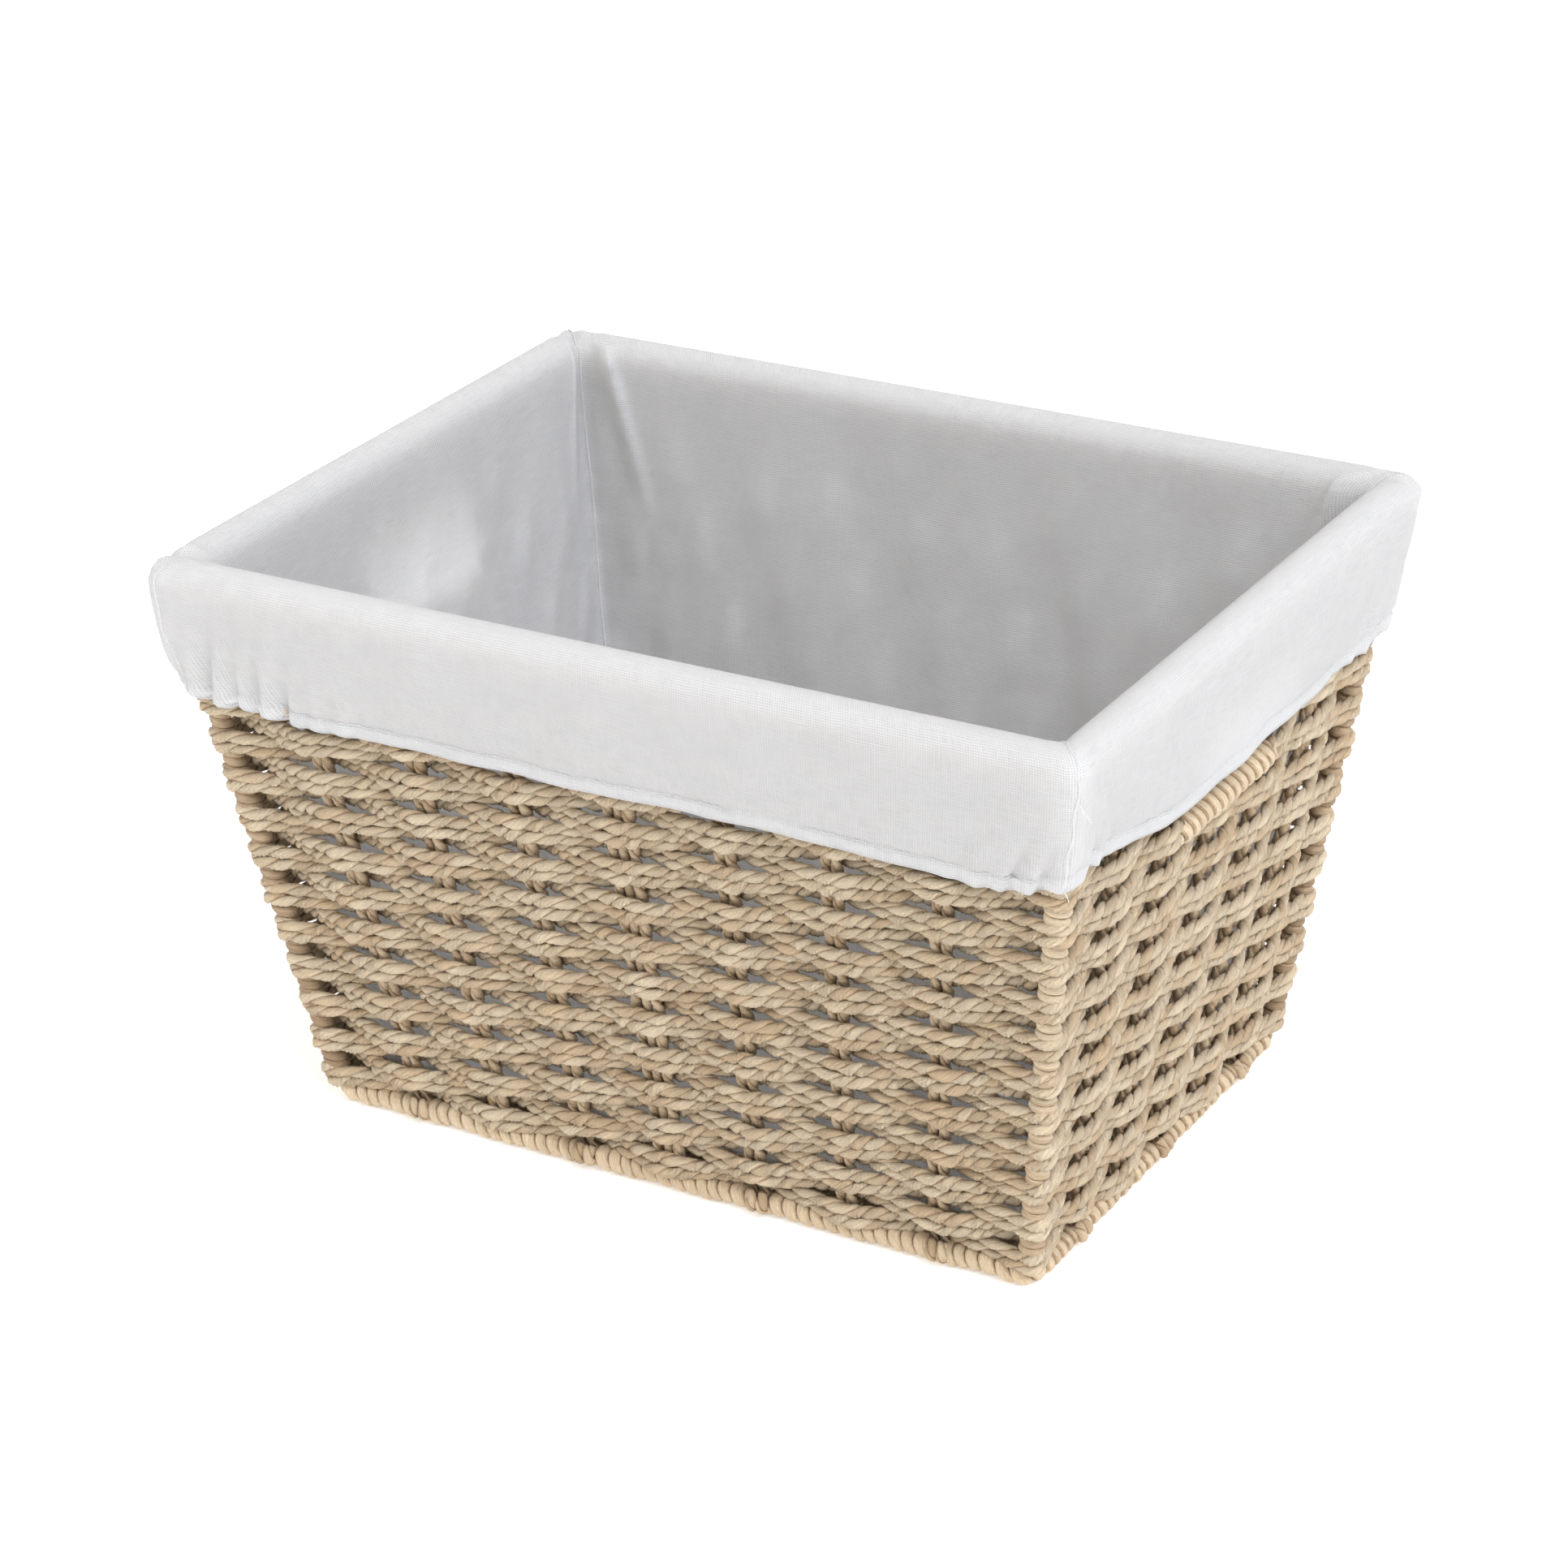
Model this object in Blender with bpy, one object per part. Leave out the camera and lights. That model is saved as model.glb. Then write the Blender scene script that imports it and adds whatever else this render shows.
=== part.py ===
"""Woven laundry basket with a lift-out cotton liner, folded over the rim as a cuff.

Origin: centre of the footprint, on the floor. +X runs along the long side, +Z is up.
Each side is drawn in its own frame: u along the side, v up its slope, n outwards.
"""
import math

import bmesh
import bpy
from mathutils import Vector

# Overall sizes, in metres
TOP_LENGTH = 0.400           # over the cuff, along X
TOP_WIDTH = 0.300            # over the cuff, along Y
BOTTOM_LENGTH = 0.320        # over the wrapped bottom rim, along X
BOTTOM_WIDTH = 0.218         # over the wrapped bottom rim, along Y
HEIGHT = 0.245               # floor to the top of the cuff

# Weave
ROW_COUNT = 26               # rows of paired rope, floor to rim
BAND_THICKNESS = 0.0036      # one row of rope, through the wall
STAKE_WIDTH = 0.0070         # two strands side by side
STAKE_THICKNESS = 0.0030
LONG_SIDE_STAKES = 7
END_STAKES = 5
POST_RADIUS = 0.0017         # corner posts
BASE_ROW_COUNT = 22
CROSSING_HALF = 0.0015       # half the length over which two rows touch where they cross

# Wrapped rims and bars
BOTTOM_RIM_RADIUS = 0.0043
TOP_RIM_RADIUS = 0.0048
RIM_CORNER_RADIUS = 0.0060   # of the rims' centre line
CORNER_STEPS = 3
BAR_RADIUS = 0.0038          # bars below and above each hand hole
BASE_CLEARANCE = 0.0008      # woven base to floor

# Hand holes, counted in rows from the floor
LOWER_BAR_ROW = 18
UPPER_BAR_ROW = 23
HOLE_FIRST_STAKE = 2         # the hole runs between these two stakes
HOLE_LAST_STAKE = 4

# Liner
CLOTH = 0.0012
CUFF_DEPTH = 0.060           # top of the cuff to its hem
ELASTIC_THICKNESS = 0.0010
ELASTIC_WIDTH = 0.0050
ELASTIC_ABOVE_HEM = 0.0020
ARCH_STEPS = 4               # facets of the fold over the rim

GAP = 0.0003                 # between neighbours
LINER_GAP = 0.0005           # liner to basket

# Pitch of the tightest stakes, and how far a row's centre swings to clear them
BOTTOM_HALF_LENGTH = BOTTOM_LENGTH / 2 - BOTTOM_RIM_RADIUS
BOTTOM_HALF_WIDTH = BOTTOM_WIDTH / 2 - BOTTOM_RIM_RADIUS
TIGHTEST_PITCH = min(
    2 * BOTTOM_HALF_LENGTH / (LONG_SIDE_STAKES + 1),
    2 * BOTTOM_HALF_WIDTH / (END_STAKES + 1),
)
HALF_STACK = (STAKE_THICKNESS + BAND_THICKNESS) / 2 + 1.5 * GAP
SWING = HALF_STACK / (1 - STAKE_WIDTH / TIGHTEST_PITCH)
WALL_HALF = SWING + BAND_THICKNESS / 2

# The cuff stands off the wall by the elastic that lies behind its hem
CUFF_INNER = WALL_HALF + ELASTIC_THICKNESS + 2 * GAP
CUFF_OUTER = CUFF_INNER + CLOTH
BAG_OUTER = WALL_HALF + LINER_GAP
BAG_INNER = BAG_OUTER + CLOTH

RIM_BOTTOM_Z = BOTTOM_RIM_RADIUS
RIM_TOP_Z = HEIGHT - CUFF_OUTER
TOP_HALF_LENGTH = TOP_LENGTH / 2 - CUFF_OUTER
TOP_HALF_WIDTH = TOP_WIDTH / 2 - CUFF_OUTER
RISE = RIM_TOP_Z - RIM_BOTTOM_Z

LONG_LEAN = math.atan((TOP_HALF_WIDTH - BOTTOM_HALF_WIDTH) / RISE)
END_LEAN = math.atan((TOP_HALF_LENGTH - BOTTOM_HALF_LENGTH) / RISE)

SIDES = {
    # along, outwards, half run at the bottom, lean of the run's ends, half depth, own lean, stakes
    "front": (Vector((1, 0, 0)), Vector((0, -1, 0)), BOTTOM_HALF_LENGTH, END_LEAN,
              BOTTOM_HALF_WIDTH, LONG_LEAN, LONG_SIDE_STAKES),
    "back": (Vector((-1, 0, 0)), Vector((0, 1, 0)), BOTTOM_HALF_LENGTH, END_LEAN,
             BOTTOM_HALF_WIDTH, LONG_LEAN, LONG_SIDE_STAKES),
    "left": (Vector((0, -1, 0)), Vector((-1, 0, 0)), BOTTOM_HALF_WIDTH, LONG_LEAN,
             BOTTOM_HALF_LENGTH, END_LEAN, END_STAKES),
    "right": (Vector((0, 1, 0)), Vector((1, 0, 0)), BOTTOM_HALF_WIDTH, LONG_LEAN,
              BOTTOM_HALF_LENGTH, END_LEAN, END_STAKES),
}
END_SIDES = ("left", "right")
UP = Vector((0, 0, 1))


# Materials

def paint(name, colour, roughness):
    """A plain surface of one colour."""
    material = bpy.data.materials.new(name)
    material.use_nodes = True
    shader = material.node_tree.nodes["Principled BSDF"]
    shader.inputs["Base Color"].default_value = (*colour, 1)
    shader.inputs["Roughness"].default_value = roughness
    shader.inputs["Metallic"].default_value = 0
    return material


def paper_rope():
    return paint("paper_rope", (0.62, 0.50, 0.33), 0.8)


def paper_stake():
    return paint("paper_stake", (0.55, 0.43, 0.27), 0.8)


def wrapped_paper():
    return paint("wrapped_paper", (0.66, 0.53, 0.36), 0.75)


def muslin():
    return paint("muslin", (0.86, 0.86, 0.85), 0.9)


def elastic_band():
    return paint("elastic_band", (0.80, 0.80, 0.78), 0.7)


# Frames of the sides

def side_point(side, u, v, n):
    """World place of a point given along, up and out of a side's own plane."""
    along, outwards, _, _, depth, lean, _ = SIDES[side]
    out = depth + v * math.sin(lean) + n * math.cos(lean)
    height = RIM_BOTTOM_Z + v * math.cos(lean) - n * math.sin(lean)
    return along * u + outwards * out + UP * height


def corner_u(side, v, n):
    """Where a side's plane, moved out by n, meets its neighbour's plane moved out as far."""
    _, _, run, run_lean, _, lean, _ = SIDES[side]
    rise = v * math.cos(lean) - n * math.sin(lean)
    return run + rise * math.tan(run_lean) + n / math.cos(run_lean)


def stake_u(side, index, v):
    """Stakes share the side evenly, so they fan out with its taper."""
    stakes = SIDES[side][6]
    return corner_u(side, v, 0) * (2 * index / (stakes + 1) - 1)


def slope(side, z):
    """Distance up a side's slope to the height z, on its middle plane."""
    return (z - RIM_BOTTOM_Z) / math.cos(SIDES[side][5])


def row_band(side, row):
    """Lower and upper edges of a row, up the slope."""
    low = slope(side, 2 * BOTTOM_RIM_RADIUS + GAP)
    high = slope(side, RIM_TOP_Z - TOP_RIM_RADIUS - GAP)
    pitch = (high - low) / ROW_COUNT
    return low + row * pitch + GAP / 2, low + (row + 1) * pitch - GAP / 2


def swing(row, index):
    """Rows pass outside and inside the stakes by turns, and start by turns too."""
    return SWING if (row + index) % 2 == 0 else -SWING


# Solids

def add_tube(mesh, rings):
    """One closed solid through a list of rings of points, capped at both ends."""
    loops = [[mesh.verts.new(point) for point in ring] for ring in rings]
    for first, second in zip(loops, loops[1:]):
        count = len(first)
        for corner in range(count):
            following = (corner + 1) % count
            mesh.faces.new((first[corner], first[following], second[following], second[corner]))
    mesh.faces.new(list(reversed(loops[0])))
    mesh.faces.new(loops[-1])
    return loops


def tie(mesh, below, above):
    """Join two bands where they cross: the upper edge of one to the lower edge of the other."""
    (a, b), (c, d) = below, above
    upper = (a[1], a[2], b[2], b[1])
    lower = (c[0], c[3], d[3], d[0])
    for corners in (upper, lower):
        mesh.faces.remove(next(face for face in corners[0].link_faces if set(face.verts) == set(corners)))
    for corner in range(4):
        following = (corner + 1) % 4
        mesh.faces.new((upper[corner], upper[following], lower[following], lower[corner]))


def add_ring(mesh, loops):
    """One closed solid through loops that each run right round, the last joined to the first."""
    rows = [[mesh.verts.new(point) for point in loop] for loop in loops]
    for number, row in enumerate(rows):
        other = rows[(number + 1) % len(rows)]
        count = len(row)
        for corner in range(count):
            following = (corner + 1) % count
            mesh.faces.new((row[corner], row[following], other[following], other[corner]))


def finish(name, mesh, material):
    """Turn the drawn solids into one object with its faces outwards."""
    bmesh.ops.recalc_face_normals(mesh, faces=mesh.faces)
    data = bpy.data.meshes.new(name)
    mesh.to_mesh(data)
    mesh.free()
    data.materials.append(material)
    thing = bpy.data.objects.new(name, data)
    bpy.context.collection.objects.link(thing)
    return thing


def section(low, high, centre, thickness):
    """Four corners (v, n) of a flat band's cross-section."""
    half = thickness / 2
    return ((low, centre - half), (high, centre - half), (high, centre + half), (low, centre + half))


def corner_ring(side, low, high, centre, end):
    """A row's end, mitred to its neighbour round the corner; end is -1 or 1."""
    return [side_point(side, end * (corner_u(side, v, n) - GAP), v, n)
            for v, n in section(low, high, centre, BAND_THICKNESS)]


def stake_ring(side, low, high, centre, index):
    """A row's cross-section where it passes a stake."""
    return [side_point(side, stake_u(side, index, v), v, n)
            for v, n in section(low, high, centre, BAND_THICKNESS)]


# Woven walls

def hole_row(side, row):
    return side in END_SIDES and LOWER_BAR_ROW <= row <= UPPER_BAR_ROW


def crossing_rings(side, low, high, index):
    """Two cross-sections in the middle plane, halfway from one stake to the next."""
    corners = section(low, high, 0, BAND_THICKNESS)
    return [[side_point(side, stake_u(side, index + 0.5, v) + shift, v, n) for v, n in corners]
            for shift in (-CROSSING_HALF, CROSSING_HALF)]


def row_rings(side, row):
    """Cross-sections of one row, corner to corner, with a crossing where rows are tied."""
    low, high = row_band(side, row)
    last = SIDES[side][6] + 1
    rings = [corner_ring(side, low, high, swing(row, 0), -1)]
    rings += crossing_rings(side, low, high, 0)
    rings += [stake_ring(side, low, high, swing(row, index), index) for index in range(1, last)]
    if side in END_SIDES:
        rings += crossing_rings(side, low, high, last - 1)
    rings.append(corner_ring(side, low, high, swing(row, last), 1))
    return rings


def woven_side(side, rope):
    """All rows of a side, in one run or in two beside a hand hole, tied where they cross."""
    mesh = bmesh.new()
    first_ties, last_ties = [], []
    for row in range(ROW_COUNT):
        rings = row_rings(side, row)
        if hole_row(side, row):
            first = add_tube(mesh, rings[:HOLE_FIRST_STAKE + 3])
            last = add_tube(mesh, rings[HOLE_LAST_STAKE + 2:])
        else:
            first = last = add_tube(mesh, rings)
        first_ties.append(first[1:3])
        last_ties.append(last[-3:-1])
    for row in range(ROW_COUNT - 1):
        tie(mesh, first_ties[row], first_ties[row + 1])
        if hole_row(side, row):
            tie(mesh, last_ties[row], last_ties[row + 1])
    return finish(f"{side}_weave", mesh, rope)


def stake(side, index, low, high, name, material):
    """A flat upright that leans and fans with its side."""
    mesh = bmesh.new()
    half_width = STAKE_WIDTH / 2
    half_thickness = STAKE_THICKNESS / 2
    corners = ((-half_width, -half_thickness), (half_width, -half_thickness),
               (half_width, half_thickness), (-half_width, half_thickness))
    add_tube(mesh, [[side_point(side, stake_u(side, index, v) + across, v, n) for across, n in corners]
                    for v in (low, high)])
    return finish(name, mesh, material)


def stakes(side, material):
    """One object for each upright; the one that a hand hole cuts is in two pieces."""
    foot = slope(side, 2 * BOTTOM_RIM_RADIUS + GAP)
    head = slope(side, RIM_TOP_Z - TOP_RIM_RADIUS - 2 * GAP)
    for index in range(1, SIDES[side][6] + 1):
        name = f"{side}_stake_{index}"
        if side in END_SIDES and HOLE_FIRST_STAKE < index < HOLE_LAST_STAKE:
            under = bar_place(side, LOWER_BAR_ROW) - BAR_RADIUS - GAP
            over = bar_place(side, UPPER_BAR_ROW) + BAR_RADIUS + GAP
            stake(side, index, foot, under, f"{name}_lower", material)
            stake(side, index, over, head, f"{name}_upper", material)
        else:
            stake(side, index, foot, head, name, material)


# Wrapped bars, posts and rims

def octagon(radius):
    """Eight corners with a flat side underneath."""
    reach = radius / math.cos(math.pi / 8)
    return [(reach * math.cos(math.radians(22.5 + 45 * step)),
             reach * math.sin(math.radians(22.5 + 45 * step))) for step in range(8)]


def bar_place(side, row):
    """The lower bar lies on the row under it, and the upper bar hangs under the row above it."""
    if row == LOWER_BAR_ROW:
        return row_band(side, row - 1)[1] + GAP + BAR_RADIUS
    return row_band(side, row + 1)[0] - GAP - BAR_RADIUS


def hand_bar(side, row, name, material):
    """A wrapped bar between the two stakes beside a hand hole."""
    mesh = bmesh.new()
    middle = bar_place(side, row)
    clear = STAKE_WIDTH / 2 + GAP
    rings = []
    for index, shift in ((HOLE_FIRST_STAKE, clear), (HOLE_LAST_STAKE, -clear)):
        rings.append([side_point(side, stake_u(side, index, middle + v) + shift, middle + v, n)
                      for n, v in octagon(BAR_RADIUS)])
    add_tube(mesh, rings)
    return finish(name, mesh, material)


def corner_post(name, x_sign, y_sign, material):
    """An upright along the line where two sides meet."""
    mesh = bmesh.new()
    rings = []
    for z in (2 * BOTTOM_RIM_RADIUS + GAP, RIM_TOP_Z - TOP_RIM_RADIUS - 2 * GAP):
        rise = z - RIM_BOTTOM_Z
        x = x_sign * (BOTTOM_HALF_LENGTH + rise * math.tan(END_LEAN))
        y = y_sign * (BOTTOM_HALF_WIDTH + rise * math.tan(LONG_LEAN))
        rings.append([(x + across, y + over, z) for across, over in octagon(POST_RADIUS)])
    add_tube(mesh, rings)
    return finish(name, mesh, material)


def rounded_outline(half_length, half_width, radius, z):
    """A rectangle with round corners, anticlockwise."""
    points = []
    for quarter, (x_sign, y_sign) in enumerate(((1, 1), (-1, 1), (-1, -1), (1, -1))):
        for step in range(CORNER_STEPS + 1):
            turn = math.pi / 2 * (quarter + step / CORNER_STEPS)
            points.append((x_sign * (half_length - radius) + radius * math.cos(turn),
                           y_sign * (half_width - radius) + radius * math.sin(turn), z))
    return points


def rim(name, half_length, half_width, centre_z, radius, material):
    """A wrapped rod bent into a closed frame."""
    mesh = bmesh.new()
    add_ring(mesh, [rounded_outline(half_length + out, half_width + out, RIM_CORNER_RADIUS + out,
                                    centre_z + up) for out, up in octagon(radius)])
    return finish(name, mesh, material)


# Woven base

def base_point(x, y, up):
    return (x, y, BASE_CLEARANCE + WALL_HALF + up)


def base_rib_x(index):
    return BOTTOM_HALF_LENGTH * (2 * index / (LONG_SIDE_STAKES + 1) - 1)


def base_ribs(material):
    """Cross strands under the liner, in line with the stakes of the long sides."""
    reach = BOTTOM_HALF_WIDTH - BOTTOM_RIM_RADIUS - GAP
    half_width = STAKE_WIDTH / 2
    half_thickness = STAKE_THICKNESS / 2
    for index in range(1, LONG_SIDE_STAKES + 1):
        mesh = bmesh.new()
        x = base_rib_x(index)
        corners = ((x - half_width, -half_thickness), (x + half_width, -half_thickness),
                   (x + half_width, half_thickness), (x - half_width, half_thickness))
        add_tube(mesh, [[base_point(across, y, up) for across, up in corners] for y in (-reach, reach)])
        finish(f"base_rib_{index}", mesh, material)


def base_weave(material):
    """Rows that pass over and under the ribs by turns, tied where they first cross."""
    mesh = bmesh.new()
    reach_x = BOTTOM_HALF_LENGTH - BOTTOM_RIM_RADIUS - 2 * GAP
    reach_y = BOTTOM_HALF_WIDTH - WALL_HALF - 2 * GAP
    pitch = 2 * reach_y / BASE_ROW_COUNT
    last = LONG_SIDE_STAKES + 1
    crossing = (base_rib_x(1) + base_rib_x(2)) / 2
    ties = []
    for row in range(BASE_ROW_COUNT):
        low = -reach_y + row * pitch + GAP / 2
        high = low + pitch - GAP
        places = [(-reach_x, 0), (base_rib_x(1), swing(row, 1)),
                  (crossing - CROSSING_HALF, 0), (crossing + CROSSING_HALF, 0)]
        places += [(base_rib_x(index), swing(row, index)) for index in range(2, last)]
        places.append((reach_x, 0))
        loops = add_tube(mesh, [[base_point(x, y, up) for y, up in section(low, high, centre, BAND_THICKNESS)]
                                for x, centre in places])
        ties.append(loops[2:4])
    for below, above in zip(ties, ties[1:]):
        tie(mesh, below, above)
    return finish("base_weave", mesh, material)


# Liner

def bag_floor_z():
    return BASE_CLEARANCE + 2 * WALL_HALF + GAP


def bag_side(side, material):
    """A flat panel of the bag, just inside the weave, up to the rim."""
    mesh = bmesh.new()
    low = slope(side, bag_floor_z())
    high = slope(side, RIM_TOP_Z) - GAP
    corners = section(low, high, -(BAG_OUTER + BAG_INNER) / 2, CLOTH)
    add_tube(mesh, [[side_point(side, end * (corner_u(side, v, n) - GAP), v, n) for v, n in corners]
                    for end in (-1, 1)])
    return finish(f"liner_{side}", mesh, material)


def bag_bottom(material):
    """The bag's floor panel, resting on the woven base."""
    mesh = bmesh.new()
    rings = []
    for z in (bag_floor_z(), bag_floor_z() + CLOTH):
        v = slope("front", bag_floor_z())
        half_x = corner_u("front", v, -BAG_INNER) - 2 * GAP
        half_y = corner_u("right", v, -BAG_INNER) - 2 * GAP
        rings.append([(x * half_x, y * half_y, z) for x, y in ((1, 1), (-1, 1), (-1, -1), (1, -1))])
    add_tube(mesh, rings)
    return finish("liner_bottom", mesh, material)


def cuff_outline(side):
    """Cross-section (v, n) of the cuff: over the rim from inside, then down to the hem."""
    centre = slope(side, RIM_TOP_Z)
    hem = slope(side, HEIGHT - CUFF_DEPTH)
    turns = [math.pi * (1 - step / ARCH_STEPS) for step in range(ARCH_STEPS + 1)]
    outside = [(centre + CUFF_OUTER * math.sin(turn), CUFF_OUTER * math.cos(turn)) for turn in turns]
    inside = [(centre + CUFF_INNER * math.sin(turn), CUFF_INNER * math.cos(turn)) for turn in turns]
    return outside + [(hem, CUFF_OUTER), (hem, CUFF_INNER)] + inside[::-1]


def cuff_side(side, material):
    """The part of the liner that is turned down over one side of the rim."""
    mesh = bmesh.new()
    outline = cuff_outline(side)
    add_tube(mesh, [[side_point(side, end * (corner_u(side, v, n) - GAP), v, n) for v, n in outline]
                    for end in (-1, 1)])
    return finish(f"cuff_{side}", mesh, material)


def hem_elastic(material):
    """A flat elastic that runs round behind the cuff's hem."""
    mesh = bmesh.new()
    low = HEIGHT - CUFF_DEPTH + ELASTIC_ABOVE_HEM
    inner = WALL_HALF + GAP
    loops = []
    for z, n in ((low, inner), (low + ELASTIC_WIDTH, inner),
                 (low + ELASTIC_WIDTH, inner + ELASTIC_THICKNESS), (low, inner + ELASTIC_THICKNESS)):
        rise = z - RIM_BOTTOM_Z
        half_x = BOTTOM_HALF_LENGTH + rise * math.tan(END_LEAN) + n / math.cos(END_LEAN)
        half_y = BOTTOM_HALF_WIDTH + rise * math.tan(LONG_LEAN) + n / math.cos(LONG_LEAN)
        loops.append([(x * half_x, y * half_y, z) for x, y in ((1, 1), (-1, 1), (-1, -1), (1, -1))])
    add_ring(mesh, loops)
    return finish("hem_elastic", mesh, material)


def build_basket():
    rope, upright, wrapped = paper_rope(), paper_stake(), wrapped_paper()
    rim("bottom_rim", BOTTOM_HALF_LENGTH, BOTTOM_HALF_WIDTH, RIM_BOTTOM_Z, BOTTOM_RIM_RADIUS, wrapped)
    rim("top_rim", TOP_HALF_LENGTH, TOP_HALF_WIDTH, RIM_TOP_Z, TOP_RIM_RADIUS, wrapped)
    for side in SIDES:
        woven_side(side, rope)
        stakes(side, upright)
    for side in END_SIDES:
        hand_bar(side, LOWER_BAR_ROW, f"{side}_hand_hole_lower_bar", wrapped)
        hand_bar(side, UPPER_BAR_ROW, f"{side}_hand_hole_upper_bar", wrapped)
    for name, x_sign, y_sign in (("front_left_post", -1, -1), ("front_right_post", 1, -1),
                                 ("back_left_post", -1, 1), ("back_right_post", 1, 1)):
        corner_post(name, x_sign, y_sign, upright)
    base_ribs(upright)
    base_weave(rope)


def build_liner():
    cloth = muslin()
    for side in SIDES:
        bag_side(side, cloth)
        cuff_side(side, cloth)
    bag_bottom(cloth)
    hem_elastic(elastic_band())


def build():
    for thing in list(bpy.data.objects):
        bpy.data.objects.remove(thing, do_unlink=True)
    build_basket()
    build_liner()


build()
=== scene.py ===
import math

import bpy
import numpy as np
from mathutils import Matrix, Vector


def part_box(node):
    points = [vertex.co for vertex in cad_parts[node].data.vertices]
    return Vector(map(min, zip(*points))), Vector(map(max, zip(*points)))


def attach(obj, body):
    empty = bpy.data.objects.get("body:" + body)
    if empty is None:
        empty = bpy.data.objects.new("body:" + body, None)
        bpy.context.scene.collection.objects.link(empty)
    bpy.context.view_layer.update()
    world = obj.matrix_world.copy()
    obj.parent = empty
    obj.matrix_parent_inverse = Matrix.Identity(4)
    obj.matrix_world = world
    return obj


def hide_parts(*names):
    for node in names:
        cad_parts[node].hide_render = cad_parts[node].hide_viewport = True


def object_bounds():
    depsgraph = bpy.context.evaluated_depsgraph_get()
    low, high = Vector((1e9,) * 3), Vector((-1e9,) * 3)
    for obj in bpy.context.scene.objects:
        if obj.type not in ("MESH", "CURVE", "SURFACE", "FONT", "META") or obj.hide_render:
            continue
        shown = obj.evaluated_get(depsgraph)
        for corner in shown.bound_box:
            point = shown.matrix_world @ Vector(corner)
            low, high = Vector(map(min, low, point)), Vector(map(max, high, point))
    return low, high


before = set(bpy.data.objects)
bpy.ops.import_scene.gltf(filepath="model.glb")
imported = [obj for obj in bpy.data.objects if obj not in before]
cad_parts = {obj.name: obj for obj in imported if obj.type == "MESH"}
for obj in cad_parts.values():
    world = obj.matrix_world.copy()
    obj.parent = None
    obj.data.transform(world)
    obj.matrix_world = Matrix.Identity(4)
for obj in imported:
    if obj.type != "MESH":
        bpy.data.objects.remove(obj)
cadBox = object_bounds()
random = np.random.default_rng(11)

# The basket's own frame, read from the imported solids: two rectangles, one at each rim's middle
lowRim = np.array(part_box("bottom_rim"))
topRim = np.array(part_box("top_rim"))
lowRadius = (lowRim[1, 2] - lowRim[0, 2]) / 2
topRadius = (topRim[1, 2] - topRim[0, 2]) / 2
lowZ, topZ = lowRim[:, 2].mean(), topRim[:, 2].mean()
lowHalf = lowRim[1, :2] - lowRadius
topHalf = topRim[1, :2] - topRadius
lean = (topHalf - lowHalf) / (topZ - lowZ)  # how far each wall moves out per metre of height
wallTop = cadBox[1][2]

basket = {
    "rows": 26,  # rows of paired rope
    "stakes": (7, 5, 7, 5),  # uprights in the front, right, back and left
    "cornerRadius": 0.0045,
    "swing": 0.0046,  # how far a row passes outside or inside the uprights
    "tightness": 0.955,  # 1 makes a row a zigzag, and 0 a soft wave
    "ropeRadius": 0.00262,
    "pairGap": 0.00212,  # half the distance between the two ropes of a row
    "spread": 0.00062,  # by which a rope widens, and leaves its partner, over an upright
    "flattening": 0.28,  # share of its thickness that a rope loses there
    "ropeLead": 0.0146,  # length of one full twist
    "ropeStep": 0.0015,  # between two rings of points
}

# Uprights are counted round the basket from the front left corner, and corners count too
stepCounts = np.array(basket["stakes"]) + 1  # steps from upright to upright on each side
sideStarts = np.concatenate([[0], np.cumsum(stepCounts)])  # the count at each side's first corner
phaseCount = sideStarts[-1]


# Paths round the basket, worked out as whole arrays

# Half sizes of the wall's middle plane at a height: straight lines between the two rims
def halfSizes(z):
    z = np.asarray(z, float)[..., None]
    return lowHalf + (z - lowZ) * lean


# A rectangle with round corners is eight stretches: front, turn, right, turn, back, turn, left, turn
def stretchLengths(half, radius):
    straight = 2 * (half - radius)
    turn = np.full(straight.shape[:-1], radius * math.pi / 2)
    x, y = straight[..., 0], straight[..., 1]
    return np.stack([x, turn, y, turn, x, turn, y, turn], -1)


# Which stretch a distance along the path falls in, and what share of that stretch lies behind it
def findStretch(distance, half, radius):
    lengths = stretchLengths(half, radius)
    ends = np.cumsum(lengths)
    distance = np.mod(distance, ends[-1])
    stretch = np.minimum(np.searchsorted(ends, distance, side="right"), 7)
    return stretch, (distance - ends[stretch] + lengths[stretch]) / lengths[stretch]


# The place on the path and the direction outwards: along a straight the direction holds, and on a
# turn it swings through a quarter circle round the corner's centre
def pathPlace(stretch, share, half, radius):
    side = stretch // 2
    turning = stretch % 2 == 1
    run = np.where(side % 2 == 0, half[..., 0], half[..., 1]) - radius
    depth = np.where(side % 2 == 0, half[..., 1], half[..., 0]) - radius
    heading = side * math.pi / 2
    outAngle = heading - math.pi / 2 + np.where(turning, share * math.pi / 2, 0)
    along = np.where(turning, run, run * (2 * share - 1))
    x = along * np.cos(heading) + depth * np.sin(heading) + radius * np.cos(outAngle)
    y = along * np.sin(heading) - depth * np.cos(heading) + radius * np.sin(outAngle)
    return x, y, np.cos(outAngle), np.sin(outAngle)


# Counting number of the upright at a place on the path, in even steps along each side: the corners are
# 0, 8, 14 and 22
def stakePhase(stretch, share, half, radius):
    side = stretch // 2
    run = np.array([half[0], half[1], half[0], half[1]])
    entry = stepCounts * radius / (2 * run)
    nextEntry = np.roll(entry, -1)
    straight = sideStarts[side] + entry[side] + share * (stepCounts[side] - 2 * entry[side])
    turned = sideStarts[side + 1] - entry[side] + share * (entry[side] + nextEntry[side])
    return np.where(stretch % 2 == 1, turned, straight)


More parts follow.
